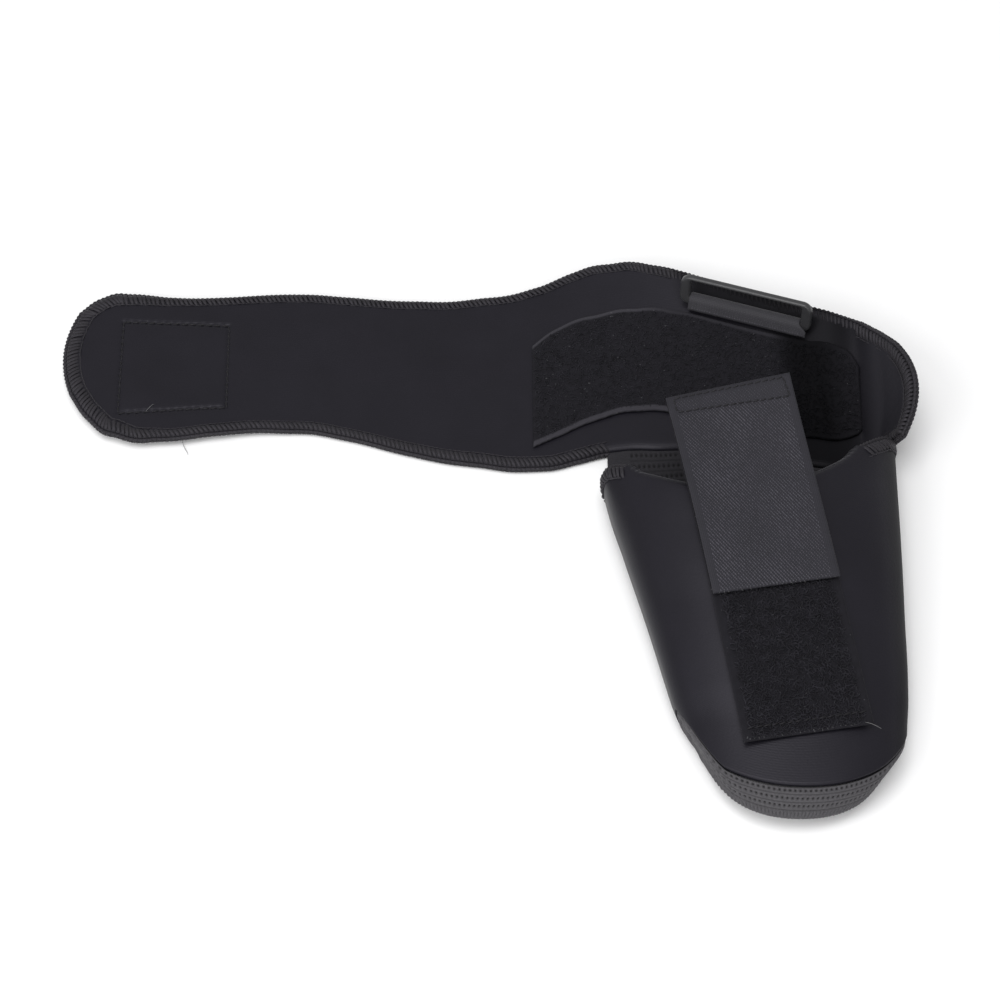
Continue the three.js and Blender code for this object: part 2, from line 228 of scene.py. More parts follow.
def neoprene_finish():
    material, shader, place = new_finish("neoprene", dyed(0.03, 0.35, 0.28))
    mottle = noise(place, 70, 4)
    fleck = noise(place, 1600, 2)
    cells = {"Vector": place, "Scale": 88.0}
    lint_near = place.node("ShaderNodeTexVoronoi", None, cells, 0) < 0.028
    lint_here = place.node("ShaderNodeTexVoronoi", None, cells, 1)
    lint = lint_near * (noise(lint_here, 3.1, 0) > 0.62)
    cloth = (0.62 * mottle + 0.38 * fleck).between((0.0034, 0.0031, 0.005), (0.0078, 0.0071, 0.0112))
    # painted light: where this mark is set the cloth is painted paler, on the fold's crest and the curled
    # end's wall
    cloth_with_painted_light = marked(place, "pale_selvedge_and_painted_light").blend(cloth, (0.1, 0.098, 0.108, 1))
    feed(shader, Base_Color=lint.blend(cloth_with_painted_light, (0.32, 0.32, 0.34, 1)), Roughness=0.37 + 0.12 * mottle)
    courses = place.node("ShaderNodeUVMap", {"uv_map": "cloth"})
    wave = {"Vector": courses, "Scale": 420.0, "Distortion": 1.5, "Detail": 2.0}
    knit = place.node("ShaderNodeTexWave", {"bands_direction": "Y"}, wave, 1)
    feed(shader, Normal=bumped(0.2 * knit + 0.8 * fleck, 0.04))
    mix_painted_shade(shader, place)
    return material


# %% Threads
def thread_finish(name, dark, pale):
    material, shader, place = new_finish(name, dyed(0.06, 0.4, 0.3))
    fuzz = noise(place, 2600, 3)
    patch = noise(place, 120, 2)
    feed(shader, Base_Color=(0.5 * fuzz + 0.5 * patch).between(dark, pale))
    feed(shader, Roughness=0.42 + 0.3 * fuzz, Normal=bumped(fuzz, 0.12))
    mix_painted_shade(shader, place)
    return material


# %% Elastic
def elastic_finish(name, dark, pale):
    material, shader, place = new_finish(name, {"Sheen Weight": 0.05, "Specular IOR Level": 0.15})
    hole = marked(place, "hole")
    fibre = noise(place, 1900, 3)
    yarn = fibre.between(dark, pale)
    # painted shade: the holes are painted near black and the ribs' grooves darker
    depth = hole.between((0, 0, 0), (0.004, 0.004, 0.004))
    feed(shader, Base_Color=hole.blend(yarn, depth), Roughness=0.62 + 0.25 * fibre)
    feed(shader, Normal=bumped(fibre, 0.1))
    return material


# %% Pile and the cloth under it
def pile_finish(name, dark, pale, sheen):
    material, shader, place = new_finish(name, dyed(sheen, 0.5, 0.12))
    tuft = noise(place, 420, 4)
    glint = noise(place, 5200, 1)
    # painted glints: a few specks of the pile are painted paler
    painted_glints = noise(place, 1500, 0) > 0.83
    fibres = (1.1 * tuft + 0.4 * glint - 0.25).between(dark, pale)
    cloth = marked(place, "pale_selvedge_and_painted_light").blend(fibres, (0.036, 0.0345, 0.041, 1))
    feed(shader, Base_Color=painted_glints.blend(cloth, (0.06, 0.06, 0.064, 1)))
    feed(shader, Roughness=0.55 + 0.35 * tuft, Normal=bumped(0.7 * tuft + 0.3 * glint, 0.35))
    mix_painted_shade(shader, place)
    return material


# %% Woven tape
TAPE_THREAD = Sizes(across=0.55, along=0.5)  # pitch of the tape's threads in mm


def tape_finish(name, dark, pale):
    constants = {"Sheen Weight": 0.05, "Sheen Roughness": 0.35, "Specular IOR Level": 0.2}
    material, shader, place = new_finish(name, constants)
    cloth = place.node("ShaderNodeUVMap", {"uv_map": "cloth"})
    across = place.node("ShaderNodeSeparateXYZ", None, {"Vector": cloth}, 0)
    along = place.node("ShaderNodeSeparateXYZ", None, {"Vector": cloth}, 1)
    warp = (across * (2 * math.pi / (TAPE_THREAD.across * MM))).sine()
    weft = (along * (2 * math.pi / (TAPE_THREAD.along * MM))).sine()
    threads = 0.5 + 0.25 * warp + 0.25 * weft
    wear = noise(place, 300, 3)
    feed(shader, Base_Color=(0.55 * threads + 0.45 * wear).between(dark, pale))
    feed(shader, Roughness=0.5 + 0.25 * wear, Normal=bumped(threads, 0.06))
    return material


# %% Moulded plastic
def plastic_finish():
    material, shader, place = new_finish("moulded_plastic", {"Specular IOR Level": 0.5})
    grain = noise(place, 2200, 2)
    smudge = noise(place, 130, 3)
    feed(shader, Base_Color=smudge.between((0.026, 0.026, 0.028), (0.042, 0.042, 0.045)))
    feed(shader, Roughness=0.3 + 0.12 * smudge, Normal=bumped(grain, 0.02))
    return material


finish = Sizes(
    neoprene=neoprene_finish(),
    overlock=thread_finish("overlock_thread", (0.006, 0.0055, 0.0064), (0.0285, 0.026, 0.031)),
    lockstitch=thread_finish("lockstitch_thread", (0.003, 0.003, 0.0033), (0.012, 0.0115, 0.0125)),
    loose=thread_finish("loose_thread", (0.07, 0.07, 0.072), (0.2, 0.2, 0.2)),
    elastic=elastic_finish("ribbed_elastic", (0.031, 0.03, 0.0325), (0.101, 0.0972, 0.105)),
    # painted shade: the elastic at the mouth is a darker copy of the ribbed elastic, for the shade it lies in
    mouth=elastic_finish("mouth_elastic", (0.0106, 0.0101, 0.012), (0.0325, 0.031, 0.0365)),
    pile=pile_finish("loop_pile", (0.0012, 0.0012, 0.0016), (0.036, 0.035, 0.043), 0.03),
    ground=pile_finish("loop_ground", (0.0052, 0.005, 0.0062), (0.0148, 0.0142, 0.0178), 0.02),
    tape=tape_finish("hook_tape_back", (0.0096, 0.0092, 0.012), (0.0305, 0.0293, 0.0372)),
    roots=thread_finish("hook_roots", (0.03, 0.029, 0.0365), (0.095, 0.092, 0.109)),
    tab=tape_finish("tab_tape", (0.018, 0.0174, 0.0206), (0.047, 0.0457, 0.0525)),
    plastic=plastic_finish(),
)
print("finishes:", ", ".join(material.name for material in vars(finish).values()))

# %% [markdown]
# ## Shapes from short tables
# Each sheet is a smooth surface over the unit square, read from a table with a row for every section. Working
# from tables keeps the outline easy to correct: one number moves one edge. Heights and places are in mm.

# %% Curves through a table
# Thickness of the sheet goods, and the air between two pieces that are sewn together.
NEOPRENE = 3.0
ELASTIC = 1.4
LOOP_FABRIC = 1.8
HOOK_TAPE = 1.6
TAB_TAPE = 0.9
GAP = 0.4


def table(names, *rows):
    return dict(zip(names.split(), np.array(rows, float).T))


def lerp(start, end, share):
    return start + (end - start) * share


def smooth(low, high, value):
    share = np.clip((value - low) / (high - low), 0, 1)
    return share * share * (3 - 2 * share)


def column(rows, key, name, place):
    """A smooth curve through one column of a table, read at places along its key column."""
    keys, values = rows[key], rows[name]
    last = len(keys) - 1
    turn = 1 if keys[0] < keys[1] else -1
    i = np.clip(np.searchsorted(turn * keys, turn * np.asarray(place)) - 1, 0, last - 1)
    before = np.maximum(np.arange(last + 1) - 1, 0)
    after = np.minimum(np.arange(last + 1) + 1, last)
    bend = (values[after] - values[before]) / (keys[after] - keys[before])
    span = keys[i + 1] - keys[i]
    t = (place - keys[i]) / span
    start = values[i] + bend[i] * span * t
    end = values[i + 1] - bend[i + 1] * span * (1 - t)
    return lerp(start, end, t * t * (3 - 2 * t))


def place_through(rows, key, share):
    """The place along a table's key column that lies a share of the way through its rows."""
    return np.interp(np.asarray(share) * (len(rows[key]) - 1), np.arange(len(rows[key])), rows[key])


def points(x, y, z):
    return np.stack(np.broadcast_arrays(x, y, z), axis=-1).astype(float)


def unit(vectors):
    return vectors / np.linalg.norm(vectors, axis=-1, keepdims=True)


def normals_of(surface, u, v):
    step = 1e-3
    along = surface(u + step, v) - surface(u - step, v)
    across = surface(u, v + step) - surface(u, v - step)
    return unit(np.cross(along, across))


def lifted(surface, height):
    return lambda u, v: surface(u, v) + normals_of(surface, u, v) * height


# %% [markdown]
# ## Closed sheets
# Cloth has two faces and an edge that rolls over. A grid of points on the surface is lifted up for one face
# and down for the other, and both faces come together round the rim, so the result is closed and has soft
# edges. A Solidify modifier would give square edges, so the rim is shaped here.


# %% A sheet with rolled edges
def edged(count, length, rim):
    """Shares of the way across a sheet, close together in the rim at both sides."""
    lead = rim / length * np.array([0, 0.06, 0.22, 0.5, 1])
    middle = np.linspace(lead[-1], 1 - lead[-1], count)[1:-1]
    return np.concatenate([lead, middle, 1 - lead[::-1]])


def walked(grid, axis):
    """How far each point of a grid is from its first row or column."""
    steps = np.linalg.norm(np.diff(grid, axis=axis), axis=-1)
    start = np.zeros_like(np.take(steps, [0], axis=axis))
    return np.concatenate([start, np.cumsum(steps, axis=axis)], axis=axis)


def sheet_mesh(name, surface, us, vs, faces, rim, tube=False, relief=None, marks=None):
    """A closed sheet between two heights over a surface. A tube has rims only along v.

    relief(u, v, points) adds to the upper face, in mm, and marks names point values for the finish."""
    u, v = np.meshgrid(us, vs, indexing="ij")
    base = surface(u, v)
    normal = normals_of(surface, u, v)
    wide, deep = walked(base, 0), walked(base, 1)
    edge = np.minimum(deep, deep[:, -1:] - deep)
    if not tube:
        edge = np.minimum(edge, np.minimum(wide, wide[-1:] - wide))
    full = np.sqrt(1 - (1 - np.clip(edge / rim, 0, 1)) ** 2)[..., None]
    low, high = faces
    middle, half = (low + high) / 2, (high - low) / 2
    extra = 0 if relief is None else relief(u, v, base)[..., None]
    top = base + normal * (middle + full * (half + extra))
    bottom = base + normal * (middle - full * half)
    rows, cols = u.shape
    kept = rows - 1 if tube else rows
    verts = np.concatenate([top[:kept].reshape(-1, 3), bottom[:kept].reshape(-1, 3)]) * MM
    i, j = np.meshgrid(np.arange(rows - 1), np.arange(cols - 1), indexing="ij")
    corners = [(i, j), (i + 1, j), (i + 1, j + 1), (i, j + 1)]
    upper = np.stack([(a % kept) * cols + b for a, b in corners], axis=-1).reshape(-1, 4)
    lower = upper[:, ::-1] + kept * cols
    scale = np.array([wide[-1].mean(), deep[:, -1].mean()]) * MM
    spots = np.stack([np.stack([us[a], vs[b]], axis=-1) for a, b in corners], axis=2).reshape(-1, 4, 2)
    cloth = np.concatenate([spots, spots[:, ::-1]]) * scale
    mesh = bpy.data.meshes.new(name)
    mesh.from_pydata(verts.tolist(), [], np.concatenate([upper, lower]).tolist())
    mesh.uv_layers.new(name="cloth").data.foreach_set("uv", cloth.astype(np.float32).ravel())
    for label, value in (marks or {}).items():
        shown = value(u, v)[:kept].ravel()
        layer = mesh.attributes.new(label, "FLOAT", "POINT")
        layer.data.foreach_set("value", np.concatenate([shown, shown * 0]).astype(np.float32))
    return closed(mesh)


def closed(mesh):
    """Joins points that lie together and shades the mesh smooth."""
    work = bmesh.new()
    work.from_mesh(mesh)
    bmesh.ops.remove_doubles(work, verts=work.verts, dist=1e-7)
    work.to_mesh(mesh)
    work.free()
    mesh.shade_smooth()
    return mesh


def half_area(mesh):
    return sum(face.area for face in mesh.polygons) / 2


def add_piece(name, mesh, material, body="brace", node=None):
    """Puts a finished mesh in the scene, on its body, in the place of its CAD node."""
    piece = bpy.data.objects.new(name, mesh)
    bpy.context.collection.objects.link(piece)
    if material is not None:
        mesh.materials.clear()
        mesh.materials.append(material)
    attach(piece, body)
    if node:
        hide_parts(node)
    triangles = sum(len(face.vertices) - 2 for face in mesh.polygons)
    print(f"{name}: {triangles} triangles, one face {half_area(mesh):.5f} m2")
    return piece


# %% [markdown]
# ## Threads along a seam
# A stitch is one short path of thread, repeated at an even pitch. Geometry Nodes suit that: the seam is a row
# of points that know which way it runs and which way is up, and the tree sweeps the path into a tube and sets
# a copy on every point, with a small random turn so that no two are quite alike. Copying stitches in a loop
# would give the same threads more slowly.


# %% The stitch tree
def tree_with(name, inputs):
    tree = bpy.data.node_groups.new(name, "GeometryNodeTree")
    for label, kind in inputs:
        tree.interface.new_socket(label, in_out="INPUT", socket_type="NodeSocket" + kind)
    tree.interface.new_socket("Result", in_out="OUTPUT", socket_type="NodeSocketGeometry")
    return tree


class Builder:
    """Adds nodes to a geometry tree: settings first, then values or links by socket."""

    def __init__(self, tree):
        self.tree = tree
        self.given = tree.nodes.new("NodeGroupInput").outputs

    def add(self, kind, settings=None, output=0, **inputs):
        made = self.tree.nodes.new(kind)
        for name, value in (settings or {}).items():
            setattr(made, name, value)
        for key, value in inputs.items():
            target = next(s for s in made.inputs if key in (s.identifier, s.name.replace(" ", "_")))
            if isinstance(value, bpy.types.NodeSocket):
                self.tree.links.new(value, target)
            else:
                target.default_value = value
        return made.outputs[output]

    def end(self, instances, material):
        real = self.add("GeometryNodeRealizeInstances", Geometry=instances)
        round_ = self.add("GeometryNodeSetShadeSmooth", Geometry=real)
        done = self.add("GeometryNodeSetMaterial", Geometry=round_, Material=material)
        out = self.tree.nodes.new("NodeGroupOutput")
        self.tree.links.new(done, out.inputs[0])


def seam_tree():
    tree = tree_with(
        "threads_along_a_seam",
        [
            ("Seam", "Geometry"),
            ("Stitch path", "Object"),
            ("Thread radius", "Float"),
            ("Thread sides", "Int"),
            ("Thread spread", "Float"),
            ("Unevenness", "Float"),
            ("Seed", "Int"),
            ("Finish", "Material"),
        ],
    )
    b = Builder(tree)
    seam, path, radius, sides, spread, uneven, seed, material = b.given[:8]
    line = b.add("GeometryNodeObjectInfo", output=4, Object=path)
    ring = b.add("GeometryNodeCurvePrimitiveCircle", Resolution=sides, Radius=radius)
    taper = b.add("GeometryNodeInputRadius")
    tube = b.add("GeometryNodeCurveToMesh", Curve=line, Profile_Curve=ring, Scale=taper, Fill_Caps=True)
    flat = b.add("ShaderNodeCombineXYZ", X=spread, Y=1.0, Z=1.0)
    thread = b.add("GeometryNodeTransform", Geometry=tube, Scale=flat)
    vector = {"data_type": "FLOAT_VECTOR"}
    along = b.add("GeometryNodeInputNamedAttribute", vector, Name="along")
    up = b.add("GeometryNodeInputNamedAttribute", vector, Name="up")
    axes = {"primary_axis": "X", "secondary_axis": "Z"}
    frame_turn = b.add("FunctionNodeAxesToRotation", axes, Primary_Axis=along, Secondary_Axis=up)
    low = b.add("ShaderNodeMath", {"operation": "MULTIPLY"}, Value=uneven, Value_001=-1.0)
    wobble = b.add("FunctionNodeRandomValue", vector, Min=low, Max=uneven, Seed=seed)
    twist = b.add("FunctionNodeEulerToRotation", Euler=wobble)
    local = {"rotation_space": "LOCAL"}
    turn = b.add("FunctionNodeRotateRotation", local, Rotation=frame_turn, Rotate_By=twist)
    size = b.add("GeometryNodeInputNamedAttribute", vector, Name="size")
    copies = b.add("GeometryNodeInstanceOnPoints", Points=seam, Instance=thread, Rotation=turn, Scale=size)
    b.end(copies, material)
    return tree


SEAM_TREE = seam_tree()


# %% Running a tree
def made_by(tree, mesh, values):
    """The mesh that a tree makes from a mesh, with its inputs set by name."""
    holder = bpy.data.objects.new("holder", mesh)
    bpy.context.collection.objects.link(holder)
    modifier = holder.modifiers.new("tree", "NODES")
    modifier.node_group = tree
    for item in tree.interface.items_tree:
        if item.in_out == "INPUT" and item.name in values:
            modifier[item.identifier] = values[item.name]
    depsgraph = bpy.context.evaluated_depsgraph_get()
    result = bpy.data.meshes.new_from_object(holder.evaluated_get(depsgraph))
    holder.modifiers.remove(modifier)
    bpy.data.objects.remove(holder)
    return result


def thread_path(name, *strands, spread=1.0):
    """A curve object of open strands, each a list of (x, y, z, thickness) in mm.

    Its threads are made that much narrower along the seam, for the tree to spread out again."""
    data = bpy.data.curves.new(name, "CURVE")
    data.dimensions = "3D"
    for strand in strands:
        spline = data.splines.new("POLY")
        spline.points.add(len(strand) - 1)
        for point, (x, y, z, thick) in zip(spline.points, strand):
            point.co = (x * MM / spread, y * MM, z * MM, 1)
            point.radius = thick
    path = bpy.data.objects.new(name, data)
    bpy.context.collection.objects.link(path)
    return path


def seam_points(name, spots, along, up, size=1.0, deep=0.0):
    """The points of a seam. A size is one number, one for each point, or three for each point."""
    mesh = bpy.data.meshes.new(name)
    mesh.from_pydata((spots * MM).tolist(), [], [])
    by_axis = np.reshape(size, (-1, 1)) if np.ndim(size) < 2 else size
    by_axis = np.broadcast_to(by_axis, (len(spots), 3))
    for label, value in (("along", along), ("up", up), ("size", by_axis)):
        layer = mesh.attributes.new(label, "FLOAT_VECTOR", "POINT")
        layer.data.foreach_set("vector", value.astype(np.float32).ravel())
    # deep carries painted shade, which turns the threads' finish dull black
    layer = mesh.attributes.new("deep", "FLOAT", "POINT")
    layer.data.foreach_set("value", np.broadcast_to(deep, len(spots)).astype(np.float32))
    return mesh


def sew(name, seam, path, thread, seed, material):
    """Lays a stitch on every point of a seam and adds the threads to the scene as one piece."""
    values = {
        "Stitch path": path,
        "Thread radius": thread.radius * MM,
        "Thread sides": thread.sides,
        "Thread spread": vars(thread).get("spread", 1.0),
        "Unevenness": math.radians(thread.uneven),
        "Seed": seed,
        "Finish": material,
    }
    mesh = made_by(SEAM_TREE, seam, values)
    mesh.name = name
    bpy.data.objects.remove(path)
    return add_piece(name, mesh, None)


def joined(seams):
    """Several seams as one: their places, their directions and their normals, end to end."""
    return [np.concatenate(part) for part in zip(*seams)]


def along_line(line, normal, pitch):
    """Evenly spaced places on a line of points, with the directions along it and up from it."""
    far = np.concatenate([[0], np.cumsum(np.linalg.norm(np.diff(line, axis=0), axis=1))])
    count = max(round(far[-1] / pitch), 1)
    stops = (np.arange(count) + 0.5) * far[-1] / count

    def at(places, values):
        return np.stack([np.interp(places, far, values[:, k]) for k in range(3)], axis=1)

    reach = min(0.5 * pitch, 1.0)
    along = unit(at(stops + reach, line) - at(stops - reach, line))
    return at(stops, line), along, unit(at(stops, normal))


# %% [markdown]
# ## The band
# One cut of neoprene, rounded at both ends and curled up at the right. It is sewn with a box of lockstitch
# over the hook patch on its underside, and the thread pulls the foam in, so the upper face is dented along
# that box. A cloth simulation could curl it, but a table of sections keeps it where the photo shows it. Shade
# is painted on its points in the strip seen through the ring's slot and in the hollow of the curl, and the
# curled end's wall is painted paler, as painted light.

# %% Band
BAND = table(
    "x near_y far_y near_z far_z",
    (-130.5, 49.3, 82.2, 3.6, 3.6),
    (-124, 39.8, 88.1, 3.6, 3.6),
    (-115.5, 33.8, 89.7, 3.6, 3.6),
    (-102, 31.9, 88.4, 3.6, 3.6),
    (-84, 34.2, 88.5, 3.5, 3.6),
    (-62, 36.1, 90.1, 2.2, 3.2),
    (-44, 33.9, 89.2, 1.8, 2.8),
    (-22, 27.5, 88, 1.7, 2.2),
    (0, 23.2, 89.3, 1.7, 2.2),
    (18, 21.8, 92.8, 1.7, 3.4),
    (30, 24.4, 97.8, 1.7, 5),
    (42, 27.7, 100.4, 1.7, 6.5),
    (56, 28.3, 98.4, 1.7, 8.5),
    (72, 28, 91, 1.7, 10.5),
    (90, 26, 82.4, 1.7, 12),
    (107, 21.5, 75.2, 1.8, 14.5),
    (118, 22.6, 69.2, 2.2, 17),
    (124, 24.4, 63.2, 5, 19.6),
    (127.6, 24.2, 58.6, 11, 21.5),
    (130.3, 21.8, 54.4, 19.5, 23.2),
)
LEFT_END = Sizes(bulge=3.5, over=15)
RIGHT_END = Sizes(bulge=4.6, lift=3.6, over=12)
STITCH_BOX = np.array([(-116.4, 78.2), (-82.1, 76.5), (-81.1, 43.5), (-115.3, 41.1)])
STITCH = 2.6  # pitch of the lockstitch
BAND_RIM = 2.6  # how far in the edge is pressed by its binding
BOX_DENT = Sizes(depth=0.36, width=0.7, pucker=0.35)
# painted shade: the strip seen through the ring's slot and the hollow of the curl are painted dark
SLOT_SHADE = Sizes(dark=0.74, from_x=61, full_x=72, fade_x=98, to_x=110, from_share=0.82, full_share=0.89)
HOLLOW_SHADE = Sizes(dark=0.76, from_x=88, full_x=100, fade_x=115, to_x=127, fade_share=0.95)
# painted light: how much paler the curled end's wall is painted, and where
LOBE_PAINTED_LIGHT = Sizes(pale=0.1, from_x=121, full_x=128)
BACK_LIFT = Sizes(from_x=62, to_x=116, over=10, height=0.7)  # the far edge stands up behind the ring


def band_at(x, across):
    near, far = column(BAND, "x", "near_y", x), column(BAND, "x", "far_y", x)
    low, high = column(BAND, "x", "near_z", x), column(BAND, "x", "far_z", x)
    left = np.clip(1 - (x - BAND["x"][0]) / LEFT_END.over, 0, 1) ** 2
    right = np.clip(1 - (BAND["x"][-1] - x) / RIGHT_END.over, 0, 1) ** 2
    arc = 4 * across * (1 - across)
    return points(
        x + arc * (RIGHT_END.bulge * right - LEFT_END.bulge * left),
        lerp(near, far, across),
        lerp(low, high, across**2) + arc * RIGHT_END.lift * right,
    )


def band_sheet(u, v):
    x = place_through(BAND, "x", u)
    start = smooth(BACK_LIFT.from_x, BACK_LIFT.from_x + BACK_LIFT.over, x)
    end = smooth(BACK_LIFT.to_x - BACK_LIFT.over, BACK_LIFT.to_x, x)
    return band_at(x, v) + points(0, 0, BACK_LIFT.height * start * (1 - end) * v**8)


def on_band(x, y):
    near, far = column(BAND, "x", "near_y", x), column(BAND, "x", "far_y", x)
    return band_at(x, (y - near) / (far - near))


def box_dent(u, v, spots):
    """The dent that the sewn box pulls into the face, deeper at each stitch."""
    dent = np.zeros(u.shape)
    flat = spots[..., :2]
    for start, end in zip(STITCH_BOX, np.roll(STITCH_BOX, -1, axis=0)):
        line = end - start
        length = np.linalg.norm(line)
        share = np.clip((flat - start) @ line / length**2, 0, 1)
        off = np.linalg.norm(flat - start - share[..., None] * line, axis=-1)
        pull = 1 + BOX_DENT.pucker * np.cos(2 * np.pi * share * length / STITCH)
        dent = np.maximum(dent, BOX_DENT.depth * pull * np.exp(-((off / BOX_DENT.width) ** 2)))
    return -dent


def stretch(x, part):
    """1 along one stretch of x and 0 outside it, with soft ends."""
    return smooth(part.from_x, part.full_x, x) * (1 - smooth(part.fade_x, part.to_x, x))


def band_painted_shade(u, v):
    """Paints shade on the strip seen through the ring's slot and in the hollow of the curl."""
    x = place_through(BAND, "x", u)
    slot = stretch(x, SLOT_SHADE) * smooth(SLOT_SHADE.from_share, SLOT_SHADE.full_share, v)
    hollow = stretch(x, HOLLOW_SHADE) * (1 - smooth(HOLLOW_SHADE.fade_share, 1, v))
    return np.maximum(SLOT_SHADE.dark * slot, HOLLOW_SHADE.dark * hollow)


def lobe_painted_light(u, v):
    """Paints the curled end's wall paler than the hollow, as painted light."""
    x = place_through(BAND, "x", u)
    return LOBE_PAINTED_LIGHT.pale * smooth(LOBE_PAINTED_LIGHT.from_x, LOBE_PAINTED_LIGHT.full_x, x)


def band_columns():
    """Shares along the band, closest together where the box is sewn."""
    x = np.concatenate([
        np.linspace(-130.5, -122, 10),
        np.linspace(-121.6, -76, 104),
        np.linspace(-75, 116, 140),
        np.linspace(117, 130.3, 18),
    ])
    return np.interp(x, BAND["x"], np.linspace(0, 1, len(BAND["x"])))


band_mesh = sheet_mesh(
    "band_skin",
    band_sheet,
    band_columns(),
    edged(72, 60, BAND_RIM),
    (-NEOPRENE / 2, NEOPRENE / 2),
    rim=BAND_RIM,
    relief=box_dent,
    marks={"deep": band_painted_shade, "pale_selvedge_and_painted_light": lobe_painted_light},
)
band = add_piece("band_skin", band_mesh, finish.neoprene, node="band")

# %% [markdown]
# ## Overlocked edges
# The cut edges of the band and of the sleeve's mouth are bound by an overlock machine: a thread loops from a
# needle line on the face, over the edge and under it, on a slant. Each loop is one path, and the seam tree
# lays it along the edge, narrower on the band's long edges than round its free end. Sweeping a striped tube
# round the edge would be quicker, but its rim would be smooth.

# %% Overlock on the band
OVERLOCK = Sizes(pitch=1.5, radius=0.4, sides=8, uneven=2.2, spread=1.6)


def overlock_path():
    loop = [
        (-1.45, 4.0, 1.2, 0.6),
        (-1.1, 3.25, 1.55, 0.95),
        (-0.75, 2.3, 1.66, 1.0),
        (-0.35, 1.4, 1.62, 1.0),
        (0.0, 0.75, 1.4, 1.0),
        (0.15, 0.45, 0.85, 0.85),
        (0.25, 0.35, 0.1, 0.8),
        (0.25, 0.35, -0.6, 0.8),
        (0.0, 0.6, -0.98, 0.85),
        (-0.4, 1.9, -1.02, 0.75),
        (-0.7, 3.2, -0.95, 0.6),
    ]
    needle = [
        (-0.75, 4.2, 1.4, 0.4),
        (-0.35, 4.25, 1.62, 0.55),
        (0.35, 4.25, 1.62, 0.55),
        (0.75, 4.2, 1.4, 0.4),
    ]
    upper = [
        (-0.76, 0.05, 0.55, 0.6),
        (-0.38, -0.3, 0.45, 1.15),
        (0.0, -0.45, 0.4, 1.4),
        (0.38, -0.3, 0.45, 1.15),
        (0.76, 0.05, 0.55, 0.6),
    ]
    lower = [
        (-0.76, -0.5, -0.5, 1.3),
        (-0.38, -0.3, -0.5, 1.1),
        (0.0, 0.05, -0.4, 0.6),
        (0.38, -0.3, -0.5, 1.1),
        (0.76, -0.5, -0.5, 1.3),
    ]
    return thread_path("overlock_path", loop, needle, upper, lower, spread=OVERLOCK.spread)


def rim_of_sheet(surface, count):
    """The way round a sheet's edge, anticlockwise from above."""
    share = np.linspace(0, 1, count, endpoint=False)
    zero, one = np.zeros(count), np.ones(count)
    u = np.concatenate([share, one, 1 - share, zero, [0]])
    v = np.concatenate([zero, share, one, 1 - share, [0]])
    inside = 1e-3
    normal = normals_of(surface, np.clip(u, inside, 1 - inside), np.clip(v, inside, 1 - inside))
    return surface(u, v), normal


# How wide the binding is by x, along the near edge and along the far one: widest round the free end.
NEAR_WIDTH = ([-118, -98, -40, 0, 120], [1.1, 0.64, 0.64, 0.83, 0.92])
FAR_WIDTH = ([-118, -98, 50, 120], [1.1, 0.74, 0.74, 0.92])
MIDDLE_Y = 60  # parts the near edge from the far one
TUCKED = Sizes(from_x=64, to_x=120, from_y=60, size=0.8)  # the binding is pressed flat behind the ring
IN_SLOT = Sizes(from_x=61, full_x=71, fade_x=98, to_x=124)  # and dark where the ring shades it
TURNED_IN = Sizes(from_x=41, to_x=121, to_y=40)  # the edge is sewn to the sleeve and has no binding
band_rim = along_line(*rim_of_sheet(band_sheet, 400), OVERLOCK.pitch)
rim_x, rim_y = band_rim[0][:, 0], band_rim[0][:, 1]
bound = (rim_x < TURNED_IN.from_x) | (rim_x > TURNED_IN.to_x) | (rim_y > TURNED_IN.to_y)
band_rim = [values[bound] for values in band_rim]
rim_x, rim_y = band_rim[0][:, 0], band_rim[0][:, 1]
behind_ring = (rim_x > TUCKED.from_x) & (rim_x < TUCKED.to_x) & (rim_y > TUCKED.from_y)
rim_wide = np.where(rim_y < MIDDLE_Y, np.interp(rim_x, *NEAR_WIDTH), np.interp(rim_x, *FAR_WIDTH))
rim_size = np.stack([np.ones_like(rim_wide), rim_wide, np.ones_like(rim_wide)], axis=1)
rim_size[behind_ring] = TUCKED.size
# painted shade on the binding seen through the ring's slot
rim_shade = SLOT_SHADE.dark * stretch(rim_x, IN_SLOT) * (rim_y > TUCKED.from_y)
band_overlock = sew(
    "band_overlock",
    seam_points("band_rim", *band_rim, rim_size, rim_shade),
    overlock_path(),
    OVERLOCK,
    seed=11,
    material=finish.overlock,
)

# %% [markdown]
# ## The sewn box
# A lockstitch shows as short dashes of thread that dip into the cloth at both ends. The box holds the hook
# patch on the other face. A bump could draw the dashes, but real threads catch the light along their tops.

# %% Box of lockstitch
LOCKSTITCH = Sizes(radius=0.24, sides=5, uneven=5.0)
SLANT = 0.16  # how far a stitch leans to each side of its line


def lockstitch_path(pitch=STITCH):
    half = 0.42 * pitch
    return thread_path(
        "lockstitch_path",
        [
            (-half, -SLANT, -0.35, 0.7),
            (-0.7 * half, -0.7 * SLANT, 0.12, 1),
            (0.7 * half, 0.7 * SLANT, 0.12, 1),
            (half, SLANT, -0.35, 0.7),
        ],
    )


def line_on(surface, corners, count=60):
    """A line through corners in a surface's own two coordinates, with its normals."""
    share = np.linspace(0, len(corners) - 1, count * (len(corners) - 1) + 1)
    corners = np.asarray(corners, float)
    a, b = (np.interp(share, np.arange(len(corners)), corners[:, k]) for k in (0, 1))
    return surface(a, b), normals_of(surface, a, b)


def stitch_sides(surface, corners, pitch=STITCH):
    """Stitches on each side of a row of corners, as one seam."""
    sides = [
        along_line(*line_on(surface, [start, end]), pitch)
        for start, end in zip(corners[:-1], corners[1:])
    ]
    return joined(sides)


box_corners = np.concatenate([STITCH_BOX, STITCH_BOX[:1]])
box_seam = stitch_sides(lifted(on_band, NEOPRENE / 2 - 0.8 * BOX_DENT.depth), box_corners)
box_stitches = sew(
    "box_stitches",
    seam_points("box_seam", *box_seam),
    lockstitch_path(),
    LOCKSTITCH,
    seed=3,
    material=finish.lockstitch,
)
